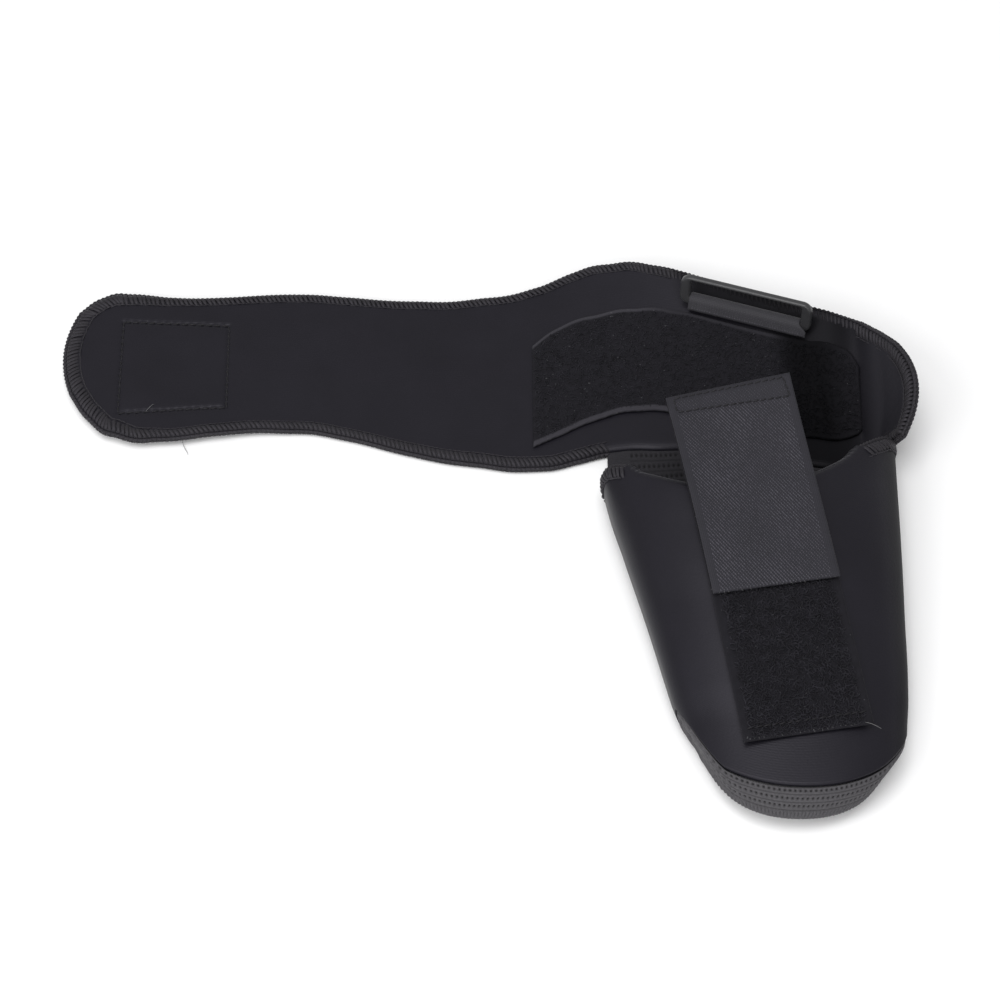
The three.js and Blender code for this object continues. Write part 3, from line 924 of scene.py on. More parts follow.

# %% [markdown]
# ## The sleeve
# A tapered tube of the same neoprene, flat where it lies on the table and crowned above. Its mouth is cut
# lower over the crown, where the edge rolls in on itself, so the binding shows only at the two corners. A
# loft through rings could make the tube, but a surface over two shares lets the roll, the painted highlight
# on the crest of the fold and the painted shade of the flanks be given as formulas.

# %% Sleeve
SLEEVE = table(
    "y x half height",
    (24, 82.2, 46.4, 29),
    (6, 83, 45, 29),
    (-16, 85.3, 42, 28),
    (-41, 88.1, 38.2, 25),
    (-66, 90.6, 34.6, 21.5),
    (-79, 91.7, 32.1, 19.2),
    (-101, 92.5, 30.5, 16.5),
)
WIDEST = 0.4
CROWN = 2.2
FLOOR = 4
MOUTH = Sizes(left_y=11.4, right_y=23, dip=19.5, dip_power=3, floor_dip=2)
TIP = Sizes(floor_y=-72, crown_y=-99, left_rise=9, right_rise=1.5, side_from=0.72, above_high=-0.6)
ROLL = Sizes(radius=3.6, turn=math.radians(205), left_high=0.54, right_high=0.72, over=0.16)
# painted highlight: where on the fold's crest it is painted, and how wide
FOLD_CREST = Sizes(angle=0.87, width=0.11)  # radians round the roll
# painted shade on the sleeve's flanks
FLANK = Sizes(left=0.12, right=0.6, from_wide=0.84, to_wide=0.97)
SECTION_STEPS = 720
SECTION_FLATNESS = 0.35


def section_shares():
    """A section as shares of its half width and height, evenly spaced round it from the right."""
    turn = np.linspace(0, 2 * np.pi, SECTION_STEPS + 1)
    power = np.where(np.sin(turn) >= 0, CROWN, FLOOR)
    wide = np.sign(np.cos(turn)) * np.abs(np.cos(turn)) ** (2 / power)
    high = np.sign(np.sin(turn)) * np.abs(np.sin(turn)) ** (2 / power)
    steps = np.hypot(np.diff(wide), SECTION_FLATNESS * np.diff(high))
    far = np.concatenate([[0], np.cumsum(steps)]) / steps.sum()
    return lambda share: (np.interp(share % 1, far, wide), np.interp(share % 1, far, high))


section = section_shares()


def sleeve_at(wide, high, y):
    height = column(SLEEVE, "y", "height", y)
    widest = WIDEST * height
    x = column(SLEEVE, "y", "x", y) + wide * column(SLEEVE, "y", "half", y)
    return points(x, y, widest + high * np.where(high > 0, height - widest, widest))


def mouth_y(wide, high):
    side = lerp(MOUTH.left_y, MOUTH.right_y, (wide + 1) / 2)
    over = MOUTH.dip * np.maximum(high, 0) ** MOUTH.dip_power
    return side - over + MOUTH.floor_dip * np.minimum(high, 0)


def tip_y(wide, high):
    side = np.maximum(np.abs(wide) - TIP.side_from, 0) / (1 - TIP.side_from)
    above = np.clip(1 - high / TIP.above_high, 0, 1)
    rise = np.where(wide < 0, TIP.left_rise, TIP.right_rise) * side**1.5 * above
    return lerp(TIP.floor_y, TIP.crown_y, ((high + 1) / 2) ** 2) + rise


def sleeve_tube(u, v):
    wide, high = section(u)
    return sleeve_at(wide, high, lerp(mouth_y(wide, high), tip_y(wide, high), v))


def roll_place(u, v):
    """How far a point lies past the mouth's fold, where the fold is, and how much is rolled there."""
    wide, high = section(u)
    start = lerp(ROLL.left_high, ROLL.right_high, (wide + 1) / 2)
    amount = smooth(start, start + ROLL.over, high)
    mouth = mouth_y(wide, high)
    fold = mouth - ROLL.radius * amount
    spare = amount * ROLL.radius * (ROLL.turn - 1)
    y = lerp(mouth + spare, tip_y(wide, high), v)
    return y - fold, fold, amount


def sleeve_rolled(u, v):
    """The sleeve's outer face with the mouth's edge rolled in over the crown."""
    wide, high = section(u)
    past, fold, _ = roll_place(u, v)
    y = past + fold
    past = np.maximum(past, 0)
    at_fold = sleeve_at(wide, high, np.minimum(y, fold))
    step = 0.5
    outward = unit(sleeve_at(wide, high, fold) - sleeve_at(wide, high, fold - step))
    round_ = unit(sleeve_at(*section(u + 1e-3), fold) - sleeve_at(*section(u - 1e-3), fold))
    normal = np.cross(outward, round_)
    angle = past / ROLL.radius
    forward = ROLL.radius * np.sin(angle)[..., None] * outward
    down = ROLL.radius * (1 - np.cos(angle))[..., None] * normal
    return at_fold + forward - down


def fold_painted_highlight(u, v):
    """Paints a highlight on the crest of the mouth's fold."""
    past, _, amount = roll_place(u, v)
    off = past / ROLL.radius - FOLD_CREST.angle
    return amount * np.exp(-((off / FOLD_CREST.width) ** 2))


def flank_shade(u, v):
    """Paints shade on both flanks, most on the right, which lies in the sleeve's own shadow."""
    wide = section(u)[0] + 0 * v
    beside = smooth(FLANK.from_wide, FLANK.to_wide, np.abs(wide))
    return np.where(wide > 0, FLANK.right, FLANK.left) * beside


sleeve_mesh = sheet_mesh(
    "sleeve_skin",
    sleeve_rolled,
    np.linspace(0, 1, 181),
    np.concatenate([
        np.linspace(0, 0.012, 7)[:-1],
        np.linspace(0.012, 0.12, 40)[:-1],
        np.linspace(0.12, 0.97, 56)[:-1],
        np.linspace(0.97, 1, 12),
    ]),
    (-NEOPRENE, 0),
    rim=0.8,
    tube=True,
    marks={"pale_selvedge_and_painted_light": fold_painted_highlight, "deep": flank_shade},
)
sleeve = add_piece("sleeve_skin", sleeve_mesh, finish.neoprene, node="toe_sleeve")

# %% Overlock on the sleeve's mouth
BOUND_FROM = -0.97  # the binding shows from this height of the section, up to where the edge rolls in
BOUND_TO = Sizes(left=0.58, right=0.74)


def bound_corner(first, last, top):
    """Places for the binding on one side of the mouth, between two shares of the way round it."""
    share = np.linspace(first, last, 900)
    high = section(share)[1]
    share = share[(high > BOUND_FROM) & (high < top)]
    edge = lifted(sleeve_rolled, -NEOPRENE / 2)(share, np.zeros_like(share))
    return along_line(edge, normals_of(sleeve_rolled, share, np.full_like(share, 2e-3)), OVERLOCK.pitch)


corner_rims = [bound_corner(0.25, 0.75, BOUND_TO.left), bound_corner(0.75, 1.25, BOUND_TO.right)]
sleeve_overlock = sew(
    "sleeve_overlock",
    seam_points("mouth_rim", *joined(corner_rims)),
    overlock_path(),
    OVERLOCK,
    seed=12,
    material=finish.overlock,
)

# %% [markdown]
# ## Ribbed elastic
# The elastic at the tip and at the mouth is woven with fat ribs, and a row of small holes runs between them.
# A bump would do from far away, but ribs and holes are close to 1 mm, large enough to show on the outline, so
# they are modelled in the mesh.

# %% Elastic at the tip
LIP = Sizes(x=91.3, half=24.5, side_y=-86, crown_reach=17, floor_reach=10, mid_z=3.6, half_z=3.2)
LIP_LEAD = Sizes(crown=4, side=0.8)  # how far the elastic runs on before it turns in
LIP_SUNK = Sizes(crown=0.8, side=0.15)  # how far below the sleeve's face the elastic starts
LIP_SIDE = Sizes(from_wide=0.6, full_wide=0.95)  # where the crown gives way to the sides
LIP_SEAM = 0.2
LIP_SOFT = 0.35
RIB = Sizes(depth=0.22, power=0.7, groove=0.07, shade=0.45)
HOLE = Sizes(pitch=1.55, depth=0.5, wide=0.34, high=0.15)
SCALLOP = Sizes(pitch=1.25, reach=0.6, power=14, bead=0.5, bead_from=0.7, bead_full=0.85)
TIP_LENGTH = 150.0
TIP_ROWS = 4
TIP_CLOSED = Sizes(share=0.7, from_wide=0.7, full_wide=0.95)  # how far the holes close up at the sides


def lip_tube(inset):
    def surface(u, v):
        wide, high = section(u)
        forward = np.array([0, -1, 0])
        beside = smooth(LIP_SIDE.from_wide, LIP_SIDE.full_wide, np.abs(wide))
        sunk_by = inset + lerp(LIP_SUNK.crown, LIP_SUNK.side, beside)
        edge_normal = normals_of(sleeve_tube, u, np.ones_like(u))
        start = sleeve_tube(u, np.ones_like(u)) - sunk_by[..., None] * edge_normal + forward * LIP_SEAM
        turn = start + forward * lerp(LIP_LEAD.crown, LIP_LEAD.side, beside)[..., None]
        power = np.where(high < 0, FLOOR / CROWN, 1)
        side, rise = np.abs(wide) ** power, np.abs(high) ** power
        reach = (np.hypot(rise, LIP_SOFT) - LIP_SOFT) / (math.hypot(1, LIP_SOFT) - LIP_SOFT)
        lip = points(
            LIP.x + (LIP.half - inset) * np.sign(wide) * side,
            LIP.side_y - np.where(high > 0, LIP.crown_reach, LIP.floor_reach) * reach,
            LIP.mid_z + (LIP.half_z - inset) * np.sign(high) * rise,
        )
        t = np.asarray(v, float)[..., None]
        scallop = SCALLOP.reach * np.abs(np.sin(np.pi * u * TIP_LENGTH / SCALLOP.pitch))
        edge = forward * (scallop * np.clip(v, 0, 1) ** SCALLOP.power)[..., None]
        return (1 - t) ** 2 * start + 2 * t * (1 - t) * turn + t**2 * lip + edge

    return surface


def hole_mark(length, rows, holed, plain=(0.0, 1.0)):
    """Painted shade from 0 to 1: most in the holes between the ribs, less in the ribs' grooves.

    Only the first rows have holes, and the cloth is plain before and after two shares of its length."""
    count = round(length / HOLE.pitch)

    def mark(u, v):
        row = v * rows
        shift = 0.5 * (np.floor(row) % 2)
        across = ((u * count + shift) % 1 - 0.5) * HOLE.pitch
        along = row % 1 - 0.5
        hole = np.exp(-((across / HOLE.wide) ** 2) - (along / HOLE.high) ** 2)
        groove = RIB.shade * np.exp(-(((row - np.round(row)) / RIB.groove) ** 2))
        plain_here = (u < plain[0]) | (u > plain[1])
        return np.where(plain_here, 0, np.maximum(np.where(row < holed, hole, 0), groove))

    return mark


def rib_relief(mark, rows, bead=0.0):
    """Ribs that stand up from the elastic, holes that go in, and beads along its outer edge."""

    def relief(u, v, spots):
        rib = RIB.depth * np.abs(np.cos(np.pi * v * rows)) ** RIB.power
        outer = smooth(SCALLOP.bead_from, SCALLOP.bead_full, v)
        beads = bead * outer * np.abs(np.sin(np.pi * u * TIP_LENGTH / SCALLOP.pitch))
        return rib + beads - HOLE.depth * mark(u, v)

    return relief


tip_holes = hole_mark(TIP_LENGTH, TIP_ROWS, holed=3)


def tip_mark(u, v):
    """The tip's holes, which close up towards its sides, where the elastic is stretched less."""
    beside = smooth(TIP_CLOSED.from_wide, TIP_CLOSED.full_wide, np.abs(section(u)[0]))
    return tip_holes(u, v) * (1 - TIP_CLOSED.share * beside)


tip_mesh = sheet_mesh(
    "tip_elastic",
    lip_tube(ELASTIC / 2),
    np.linspace(0, 1, 97 * 7 + 1),
    np.linspace(0, 1, 45),
    (-ELASTIC / 2, ELASTIC / 2 - 0.1),
    rim=0.7,
    tube=True,
    relief=rib_relief(tip_mark, TIP_ROWS, SCALLOP.bead),
    marks={"hole": tip_mark},
)
tip_elastic = add_piece("tip_elastic", tip_mesh, finish.elastic, node="toe_elastic")

# %% Elastic at the mouth
MOUTH_STRIP = Sizes(from_x=39.8, to_x=124.5, ribs_from_x=47, ribs_to_x=98, z=1.5)
STRIP_SEAM = Sizes(sleeve=0.1, band=0.3)  # how far the strip goes past the sleeve's and the band's edge
MOUTH_ROWS = 4
MOUTH_LENGTH = MOUTH_STRIP.to_x - MOUTH_STRIP.from_x


def strip_sheet(u, v):
    x = lerp(MOUTH_STRIP.from_x, MOUTH_STRIP.to_x, u)
    wide = (x - SLEEVE["x"][0]) / SLEEVE["half"][0]
    start = mouth_y(wide, -np.ones_like(wide)) + STRIP_SEAM.sleeve
    end = column(BAND, "x", "near_y", x) + STRIP_SEAM.band
    return points(x, lerp(start, end, v), MOUTH_STRIP.z)


ribbed = [(x - MOUTH_STRIP.from_x) / MOUTH_LENGTH for x in (MOUTH_STRIP.ribs_from_x, MOUTH_STRIP.ribs_to_x)]
strip_mark = hole_mark(MOUTH_LENGTH, MOUTH_ROWS, holed=MOUTH_ROWS, plain=ribbed)
strip_mesh = sheet_mesh(
    "mouth_elastic_ribs",
    strip_sheet,
    edged(240, 70, 0.7),
    edged(44, 14, 0.7),
    (-ELASTIC / 2, ELASTIC / 2),
    rim=0.7,
    relief=rib_relief(strip_mark, MOUTH_ROWS),
    marks={"hole": strip_mark},
)
# the mouth's strip takes the darker copy of the elastic, painted shade
mouth_strip = add_piece("mouth_elastic_ribs", strip_mesh, finish.mouth, node="mouth_elastic")

# %% [markdown]
# ## Loop pile
# Loop fabric is a thin ground with thousands of small loops standing on it, brushed every way. Hair particles
# could stand for them, but they aren't a mesh. Geometry Nodes scatter points on the ground and set one bent
# thread on each, turned and leaned at random from a fixed seed.


# %% The pile tree
def pile_tree():
    tree = tree_with(
        "loops_on_a_ground",
        [
            ("Ground", "Geometry"),
            ("Loops per m2", "Float"),
            ("Loop radius", "Float"),
            ("Thread radius", "Float"),
            ("Lean", "Float"),
            ("Seed", "Int"),
            ("Finish", "Material"),
        ],
    )
    b = Builder(tree)
    ground, density, loop, thread, lean, seed, material = b.given[:7]
    scatter = {"distribute_method": "RANDOM"}
    spots = b.add("GeometryNodeDistributePointsOnFaces", scatter, Mesh=ground, Density=density, Seed=seed)
    stand = spots.node.outputs["Rotation"]
    arc = b.add(
        "GeometryNodeCurveArc",
        {"mode": "RADIUS"},
        Resolution=6,
        Radius=loop,
        Start_Angle=math.radians(-35),
        Sweep_Angle=math.radians(250),
    )
    upright = b.add("GeometryNodeTransform", Geometry=arc, Rotation=(math.pi / 2, 0, 0))
    ring = b.add("GeometryNodeCurvePrimitiveCircle", Resolution=3, Radius=thread)
    tube = b.add("GeometryNodeCurveToMesh", Curve=upright, Profile_Curve=ring)
    low = b.add("ShaderNodeMath", {"operation": "MULTIPLY"}, Value=lean, Value_001=-1.0)
    below = b.add("ShaderNodeCombineXYZ", X=low, Y=low, Z=0.0)
    above = b.add("ShaderNodeCombineXYZ", X=lean, Y=lean, Z=2 * math.pi)
    vector = {"data_type": "FLOAT_VECTOR"}
    way = b.add("FunctionNodeRandomValue", vector, Min=below, Max=above, Seed=seed)
    twist = b.add("FunctionNodeEulerToRotation", Euler=way)
    local = {"rotation_space": "LOCAL"}
    turn = b.add("FunctionNodeRotateRotation", local, Rotation=stand, Rotate_By=twist)
    small = {"data_type": "FLOAT"}
    size = b.add("FunctionNodeRandomValue", small, output=1, Min_001=0.6, Max_001=1.3, Seed=seed)
    copies = b.add("GeometryNodeInstanceOnPoints", Points=spots, Instance=tube, Rotation=turn, Scale=size)
    b.end(copies, material)
    return tree


PILE_TREE = pile_tree()


def grid_mesh(name, surface, us, vs, deep=None):
    """One face of a surface, for points to be scattered on, with painted shade marked on its points."""
    u, v = np.meshgrid(us, vs, indexing="ij")
    rows, cols = u.shape
    i, j = np.meshgrid(np.arange(rows - 1), np.arange(cols - 1), indexing="ij")
    corners = [(i, j), (i + 1, j), (i + 1, j + 1), (i, j + 1)]
    quads = np.stack([a * cols + b for a, b in corners], axis=-1).reshape(-1, 4)
    mesh = bpy.data.meshes.new(name)
    mesh.from_pydata((surface(u, v).reshape(-1, 3) * MM).tolist(), [], quads.tolist())
    if deep is not None:
        layer = mesh.attributes.new("deep", "FLOAT", "POINT")
        layer.data.foreach_set("value", deep(u, v).astype(np.float32).ravel())
    return mesh


def grow_pile(name, ground, pile, seed):
    """Grows loops on a ground and adds them to the scene as one piece."""
    values = {
        "Loops per m2": pile.per_mm2 / MM**2,
        "Loop radius": pile.loop * MM,
        "Thread radius": pile.thread * MM,
        "Lean": math.radians(pile.lean),
        "Seed": seed,
        "Finish": finish.pile,
    }
    mesh = made_by(PILE_TREE, ground, values)
    mesh.name = name
    return add_piece(name, mesh, None)


# %% [markdown]
# ## The loop patch on the band
# The band's end fastens here. The patch is cut to the band's curve, its left end straight, and its two long
# edges are paler where the ground's selvedge shows. Shrinkwrapping a flat cut would pull its outline about,
# so the patch is lifted from the band's own surface.

# %% Loop patch
LOOP_PATCH = table(
    "x near_y far_y",
    (16.5, 28.5, 68.5),
    (25, 33, 75.5),
    (38, 39.5, 80.4),
    (51, 42.6, 82.2),
    (62, 41.5, 80.7),
    (76, 38, 76),
    (90, 34.5, 70.9),
    (105, 32.1, 65.7),
    (116, 31.8, 61.8),
    (121, 34.5, 55),
)
PATCH_GROUND = 0.9  # thickness of the cloth under the loops
PATCH_PILE = Sizes(per_mm2=1.35, loop=0.5, thread=0.085, lean=50)
# painted shade on the patch right of the strap, fading towards the patch's end
PATCH_SHADE = Sizes(dark=0.8, from_x=92, full_x=101, fade_x=107, end_x=121, end=0.7)
SELVEDGE = Sizes(near=1.5, far=1.1, soft=0.7)  # widths in mm
# painted shade: the far selvedge is painted less pale where the tab shades it
SELVEDGE_TAB_SHADE = Sizes(pale=0.45, from_x=48, full_x=64)  # the far selvedge is less pale by the tab


def patch_sheet(u, v):
    x = place_through(LOOP_PATCH, "x", u)
    y = lerp(column(LOOP_PATCH, "x", "near_y", x), column(LOOP_PATCH, "x", "far_y", x), v)
    return lifted(on_band, NEOPRENE / 2 + GAP)(x, y)


def patch_painted_shade(u, v):
    """Paints shade on the pile right of the strap, where the strap and the hollow shade it, less at the end.
    """
    x = place_through(LOOP_PATCH, "x", u) + 0 * v
    return PATCH_SHADE.dark * smooth(PATCH_SHADE.from_x, PATCH_SHADE.full_x, x) * (1 - PATCH_SHADE.end * smooth(PATCH_SHADE.fade_x, PATCH_SHADE.end_x, x))


def selvedge(u, v):
    """Marks the paler bare strip on both long edges, with painted shade by the tab and right of the strap."""
    x = place_through(LOOP_PATCH, "x", u)
    wide = column(LOOP_PATCH, "x", "far_y", x) - column(LOOP_PATCH, "x", "near_y", x)
    near = 1 - smooth(SELVEDGE.near, SELVEDGE.near + SELVEDGE.soft, v * wide)
    far = 1 - smooth(SELVEDGE.far, SELVEDGE.far + SELVEDGE.soft, (1 - v) * wide)
    far = far * lerp(1, SELVEDGE_TAB_SHADE.pale, smooth(SELVEDGE_TAB_SHADE.from_x, SELVEDGE_TAB_SHADE.full_x, x))
    return np.maximum(near, far) * (1 - smooth(PATCH_SHADE.from_x, PATCH_SHADE.full_x, x))


patch_mesh = sheet_mesh(
    "loop_patch_ground",
    patch_sheet,
    edged(110, 110, 0.6),
    np.concatenate([
        np.linspace(0, 0.07, 12)[:-1],
        np.linspace(0.07, 0.93, 40)[:-1],
        np.linspace(0.93, 1, 12),
    ]),
    (-0.3, PATCH_GROUND),
    rim=0.6,
    marks={"deep": patch_painted_shade, "pale_selvedge_and_painted_light": selvedge},
)
patch = add_piece("loop_patch_ground", patch_mesh, finish.ground, node="loop_patch")
patch_top = grid_mesh(
    "patch_top",
    lifted(patch_sheet, PATCH_GROUND),
    np.linspace(0.006, 0.994, 90),
    np.linspace(0.045, 0.955, 40),
    patch_painted_shade,
)
patch_pile = grow_pile("loop_patch_pile", patch_top, PATCH_PILE, seed=21)

# %% [markdown]
# ## The strap
# Two tapes make the strap: loop tape sewn to the sleeve's tip, and hook tape sewn to its free end and folded
# back on it. The hook tape's woven back is up, with the hooks' roots showing as rows of fine dots on a slant.
# A texture could draw the dots, but threads laid by the seam tree also roughen the tape's outline.

# %% Strap tapes
STRAP = Sizes(width=38, tip_x=94, tip_y=-83.7, end_x=75.7, end_y=29.1)
STRAP_TWIST = Sizes(from_y=-22, end_y=34, rise=7)  # the free end is higher at the right
STRAP_RISE = table("y z", (-90, 17.7), (-66, 21.5), (-41, 25), (-16, 28), (6, 30), (34, 32.6))
HOOK_FROM_Y = -38.9
HOOK_ABOVE = LOOP_FABRIC + GAP
HOOK_FACE = HOOK_ABOVE + HOOK_TAPE - 0.2  # the tape is a little thinner than its hooks make it
STRAP_GROUND = 1.0
STRAP_PILE = Sizes(per_mm2=2.3, loop=0.68, thread=0.11, lean=62)
strap_line = np.array([STRAP.end_x - STRAP.tip_x, STRAP.end_y - STRAP.tip_y])
strap_across = np.array([strap_line[1], -strap_line[0]]) / np.linalg.norm(strap_line)
STRAP_LENGTH = float(np.linalg.norm(strap_line))


def strap_at(across, share):
    y = lerp(STRAP.tip_y, STRAP.end_y, share)
    side = (across - 0.5) * STRAP.width
    x = lerp(STRAP.tip_x, STRAP.end_x, share)
    twist = np.clip((y - STRAP_TWIST.from_y) / (STRAP_TWIST.end_y - STRAP_TWIST.from_y), 0, 1) ** 2
    z = column(STRAP_RISE, "y", "z", y) + GAP + (across - 0.5) * STRAP_TWIST.rise * twist
    return points(x + side * strap_across[0], y + side * strap_across[1], z)


HOOK_START = (HOOK_FROM_Y - STRAP.tip_y) / (STRAP.end_y - STRAP.tip_y)
HOOK_LENGTH = STRAP_LENGTH * (1 - HOOK_START)


def hook_at(across, share):
    return strap_at(across, lerp(HOOK_START, 1, share))


loop_mesh = sheet_mesh(
    "strap_loop_ground",
    strap_at,
    edged(24, STRAP.width, 0.7),
    edged(90, STRAP_LENGTH, 0.7),
    (0, STRAP_GROUND),
    rim=0.5,
)
strap_loop = add_piece(
    "strap_loop_ground", loop_mesh, finish.ground, node="strap_loop_tape"
)
loop_top = grid_mesh(
    "loop_top",
    lifted(strap_at, STRAP_GROUND),
    np.linspace(0.065, 0.935, 20),
    np.linspace(0.006, HOOK_START + 0.01, 40),
)
strap_pile = grow_pile("strap_loop_pile", loop_top, STRAP_PILE, seed=22)

# %% Hook tape with its woven back
hook_mesh = sheet_mesh(
    "strap_hook_back",
    hook_at,
    edged(40, STRAP.width, 0.6),
    edged(80, HOOK_LENGTH, 0.4),
    (HOOK_ABOVE, HOOK_FACE),
    rim=0.6,
)
strap_hook = add_piece("strap_hook_back", hook_mesh, finish.tape, node="strap_hook_tape")
hook_face = lifted(hook_at, HOOK_FACE)
WEAVE = Sizes(pitch=0.98, row=0.56, selvedge=1.9, first=0.4, plain_end=2.2)
ROOT = Sizes(radius=0.16, sides=4, uneven=8, smallest=0.6, largest=1.2)
WEAR = Sizes(drift=0.22, waves=((9, 4), (-3, 11)))  # waves across and along the tape
PRESSED = Sizes(share=0.4, from_share=0.87, full_share=0.9)  # the roots are pressed in under the sewn end


def weave_points():
    """The hooks' roots: rows across the tape, each a third of a step further on than the last."""
    rows = int((HOOK_LENGTH - WEAVE.plain_end) / WEAVE.row) - 1
    cols = int((STRAP.width - 2 * WEAVE.selvedge) / WEAVE.pitch)
    row, col = np.meshgrid(np.arange(rows), np.arange(cols), indexing="ij")
    side = WEAVE.selvedge + ((col - row / 3) % cols) * WEAVE.pitch + WEAVE.first
    share = (row + 1) * WEAVE.row / HOOK_LENGTH
    across = (side / STRAP.width).ravel()
    share = share.ravel()
    step = 1e-3
    ahead = hook_face(across - step, share + 2 * step)
    behind = hook_face(across + step, share - 2 * step)
    wear = np.prod([np.sin(a * across + b * share) for a, b in WEAR.waves], axis=0)
    sewn = 1 - PRESSED.share * smooth(PRESSED.from_share, PRESSED.full_share, share)
    size = np.random.default_rng(4).uniform(ROOT.smallest, ROOT.largest, len(across))
    size = size * (1 + WEAR.drift * wear) * sewn
    up = normals_of(hook_at, across, share)
    return seam_points("weave_points", hook_face(across, share), unit(ahead - behind), up, size)


root_path = thread_path("root_path", [(-0.3, 0, -0.06, 0.5), (0, 0, 0.03, 1), (0.3, 0, -0.06, 0.5)])
hook_weave = sew(
    "strap_hook_weave", weave_points(), root_path, ROOT, seed=31, material=finish.roots
)

# %% Stitches on the strap
TAPE_STITCH = 2.3
end_box = [(0.06, 0.905), (0.955, 0.885), (0.94, 0.98), (0.06, 0.98), (0.06, 0.905)]
foot_row = [(0.04, 0.033), (0.96, 0.033)]
FOOT_STITCH_RISE = 0.4  # the stitches of the foot lie on the pile
end_seam = stitch_sides(hook_face, end_box, TAPE_STITCH)
foot_seam = stitch_sides(lifted(strap_at, STRAP_GROUND + FOOT_STITCH_RISE), foot_row, TAPE_STITCH)
strap_stitches = sew(
    "strap_stitches",
    seam_points("strap_seam", *joined([end_seam, foot_seam])),
    lockstitch_path(TAPE_STITCH),
    LOCKSTITCH,
    seed=5,
    material=finish.lockstitch,
)

# %% [markdown]
# ## The hook patch under the band
# The patch is out of sight, but the sewn box shows where it is. Its hooks face the table, and each is a short
# bent thread. A plain plate would pass from above, and the hooks are there for when the part is turned over.

# %% Hook patch
HOOK_PATCH = Sizes(x=-98.7, y=60, width=39, length=41)
HOOK_BACK = 0.7
HOOKS = Sizes(first=0.04, last=0.97, step=0.0375, radius=0.1, sides=4, uneven=10)


def hook_patch_at(u, v):
    x = HOOK_PATCH.x + (u - 0.5) * HOOK_PATCH.width
    y = HOOK_PATCH.y + (v - 0.5) * HOOK_PATCH.length
    return points(x, y, 0.0)


hook_patch_mesh = sheet_mesh(
    "hook_patch_back",
    hook_patch_at,
    edged(30, HOOK_PATCH.width, 0.4),
    edged(30, HOOK_PATCH.length, 0.4),
    (HOOK_BACK, HOOK_TAPE),
    rim=0.4,
)
hook_patch = add_piece(
    "hook_patch_back", hook_patch_mesh, finish.tape, node="band_hook_patch"
)


def hook_points():
    shares = np.arange(HOOKS.first, HOOKS.last, HOOKS.step)
    u, v = np.meshgrid(shares, shares, indexing="ij")
    spots = hook_patch_at(u.ravel(), v.ravel()) + np.array([0, 0, HOOK_BACK])
    along = np.broadcast_to(np.array([1.0, 0, 0]), spots.shape)
    down = np.broadcast_to(np.array([0, 0, -1.0]), spots.shape)
    return seam_points("hook_points", spots, along, down)


bent = [(0, 0, -0.1, 1), (0, 0, 0.3, 1), (0.12, 0, 0.52, 1), (0.32, 0, 0.5, 0.9), (0.4, 0, 0.32, 0.6)]
patch_hooks = sew(
    "hook_patch_hooks",
    hook_points(),
    thread_path("hook_path", bent),
    HOOKS,
    seed=41,
    material=finish.tape,
)

# %% [markdown]
# ## Ring and tab
# The ring is moulded: four bars with rounded edges, of which the lower one turns in the fold of the tab.
# Bevelled boxes could be joined into it, but one section swept round the slot has no seams. Its place and
# axis come from the frame's joint, so it turns where the frame says. The tab is one tape folded round the
# bar. Below the ring it is wider than the slot, and it narrows at the fold to let the side bar pass.

# %% Ring
RING = Sizes(length=43.8, reach=9.5, side=3.4, top=1.4, thick=2.4, edge=0.9)
CORNER = Sizes(outer=3.2, foot=2.7, slot=1)  # radii of the ring's corners
RING_LEAN = math.radians(11)
BAR = Sizes(radius=1.3, clearance=0.3, back=3.6)
joint = frame["joints"][0]
bar_centre = np.array(joint["pos_m"]) / MM
along_bar = unit(np.array(joint["axis"]))
level = unit(np.cross([0, 0, 1], along_bar))
upright = np.cross(along_bar, level)
ring_up = upright * math.cos(RING_LEAN) + level * math.sin(RING_LEAN)
ring_face = np.cross(along_bar, ring_up)


def arc_points(centre, radius, start, end, count):
    angle = np.linspace(start, end, count)
    return np.array(centre) + radius * np.stack([np.cos(angle), np.sin(angle)], axis=-1)


def rounded_rectangle(half, low, high, low_radius, high_radius, count=9):
    """Points round a rectangle from its lower right corner, anticlockwise."""
    quarter = math.pi / 2
    corners = [
        (half - low_radius, low + low_radius, low_radius),
        (half - high_radius, high - high_radius, high_radius),
        (high_radius - half, high - high_radius, high_radius),
        (low_radius - half, low + low_radius, low_radius),
    ]
    return np.concatenate([
        arc_points((x, y), radius, (k - 1) * quarter, k * quarter, count)
        for k, (x, y, radius) in enumerate(corners)
    ])


def bar_section(wide, thick, radius, count=6):
    """Points round a bar's section: how far in from its outer edge, and how far in front."""
    radius = min(radius, 0.48 * wide)
    points_ = rounded_rectangle(wide / 2, -thick / 2, thick / 2, radius, radius, count)
    return points_ + np.array([wide / 2, 0])


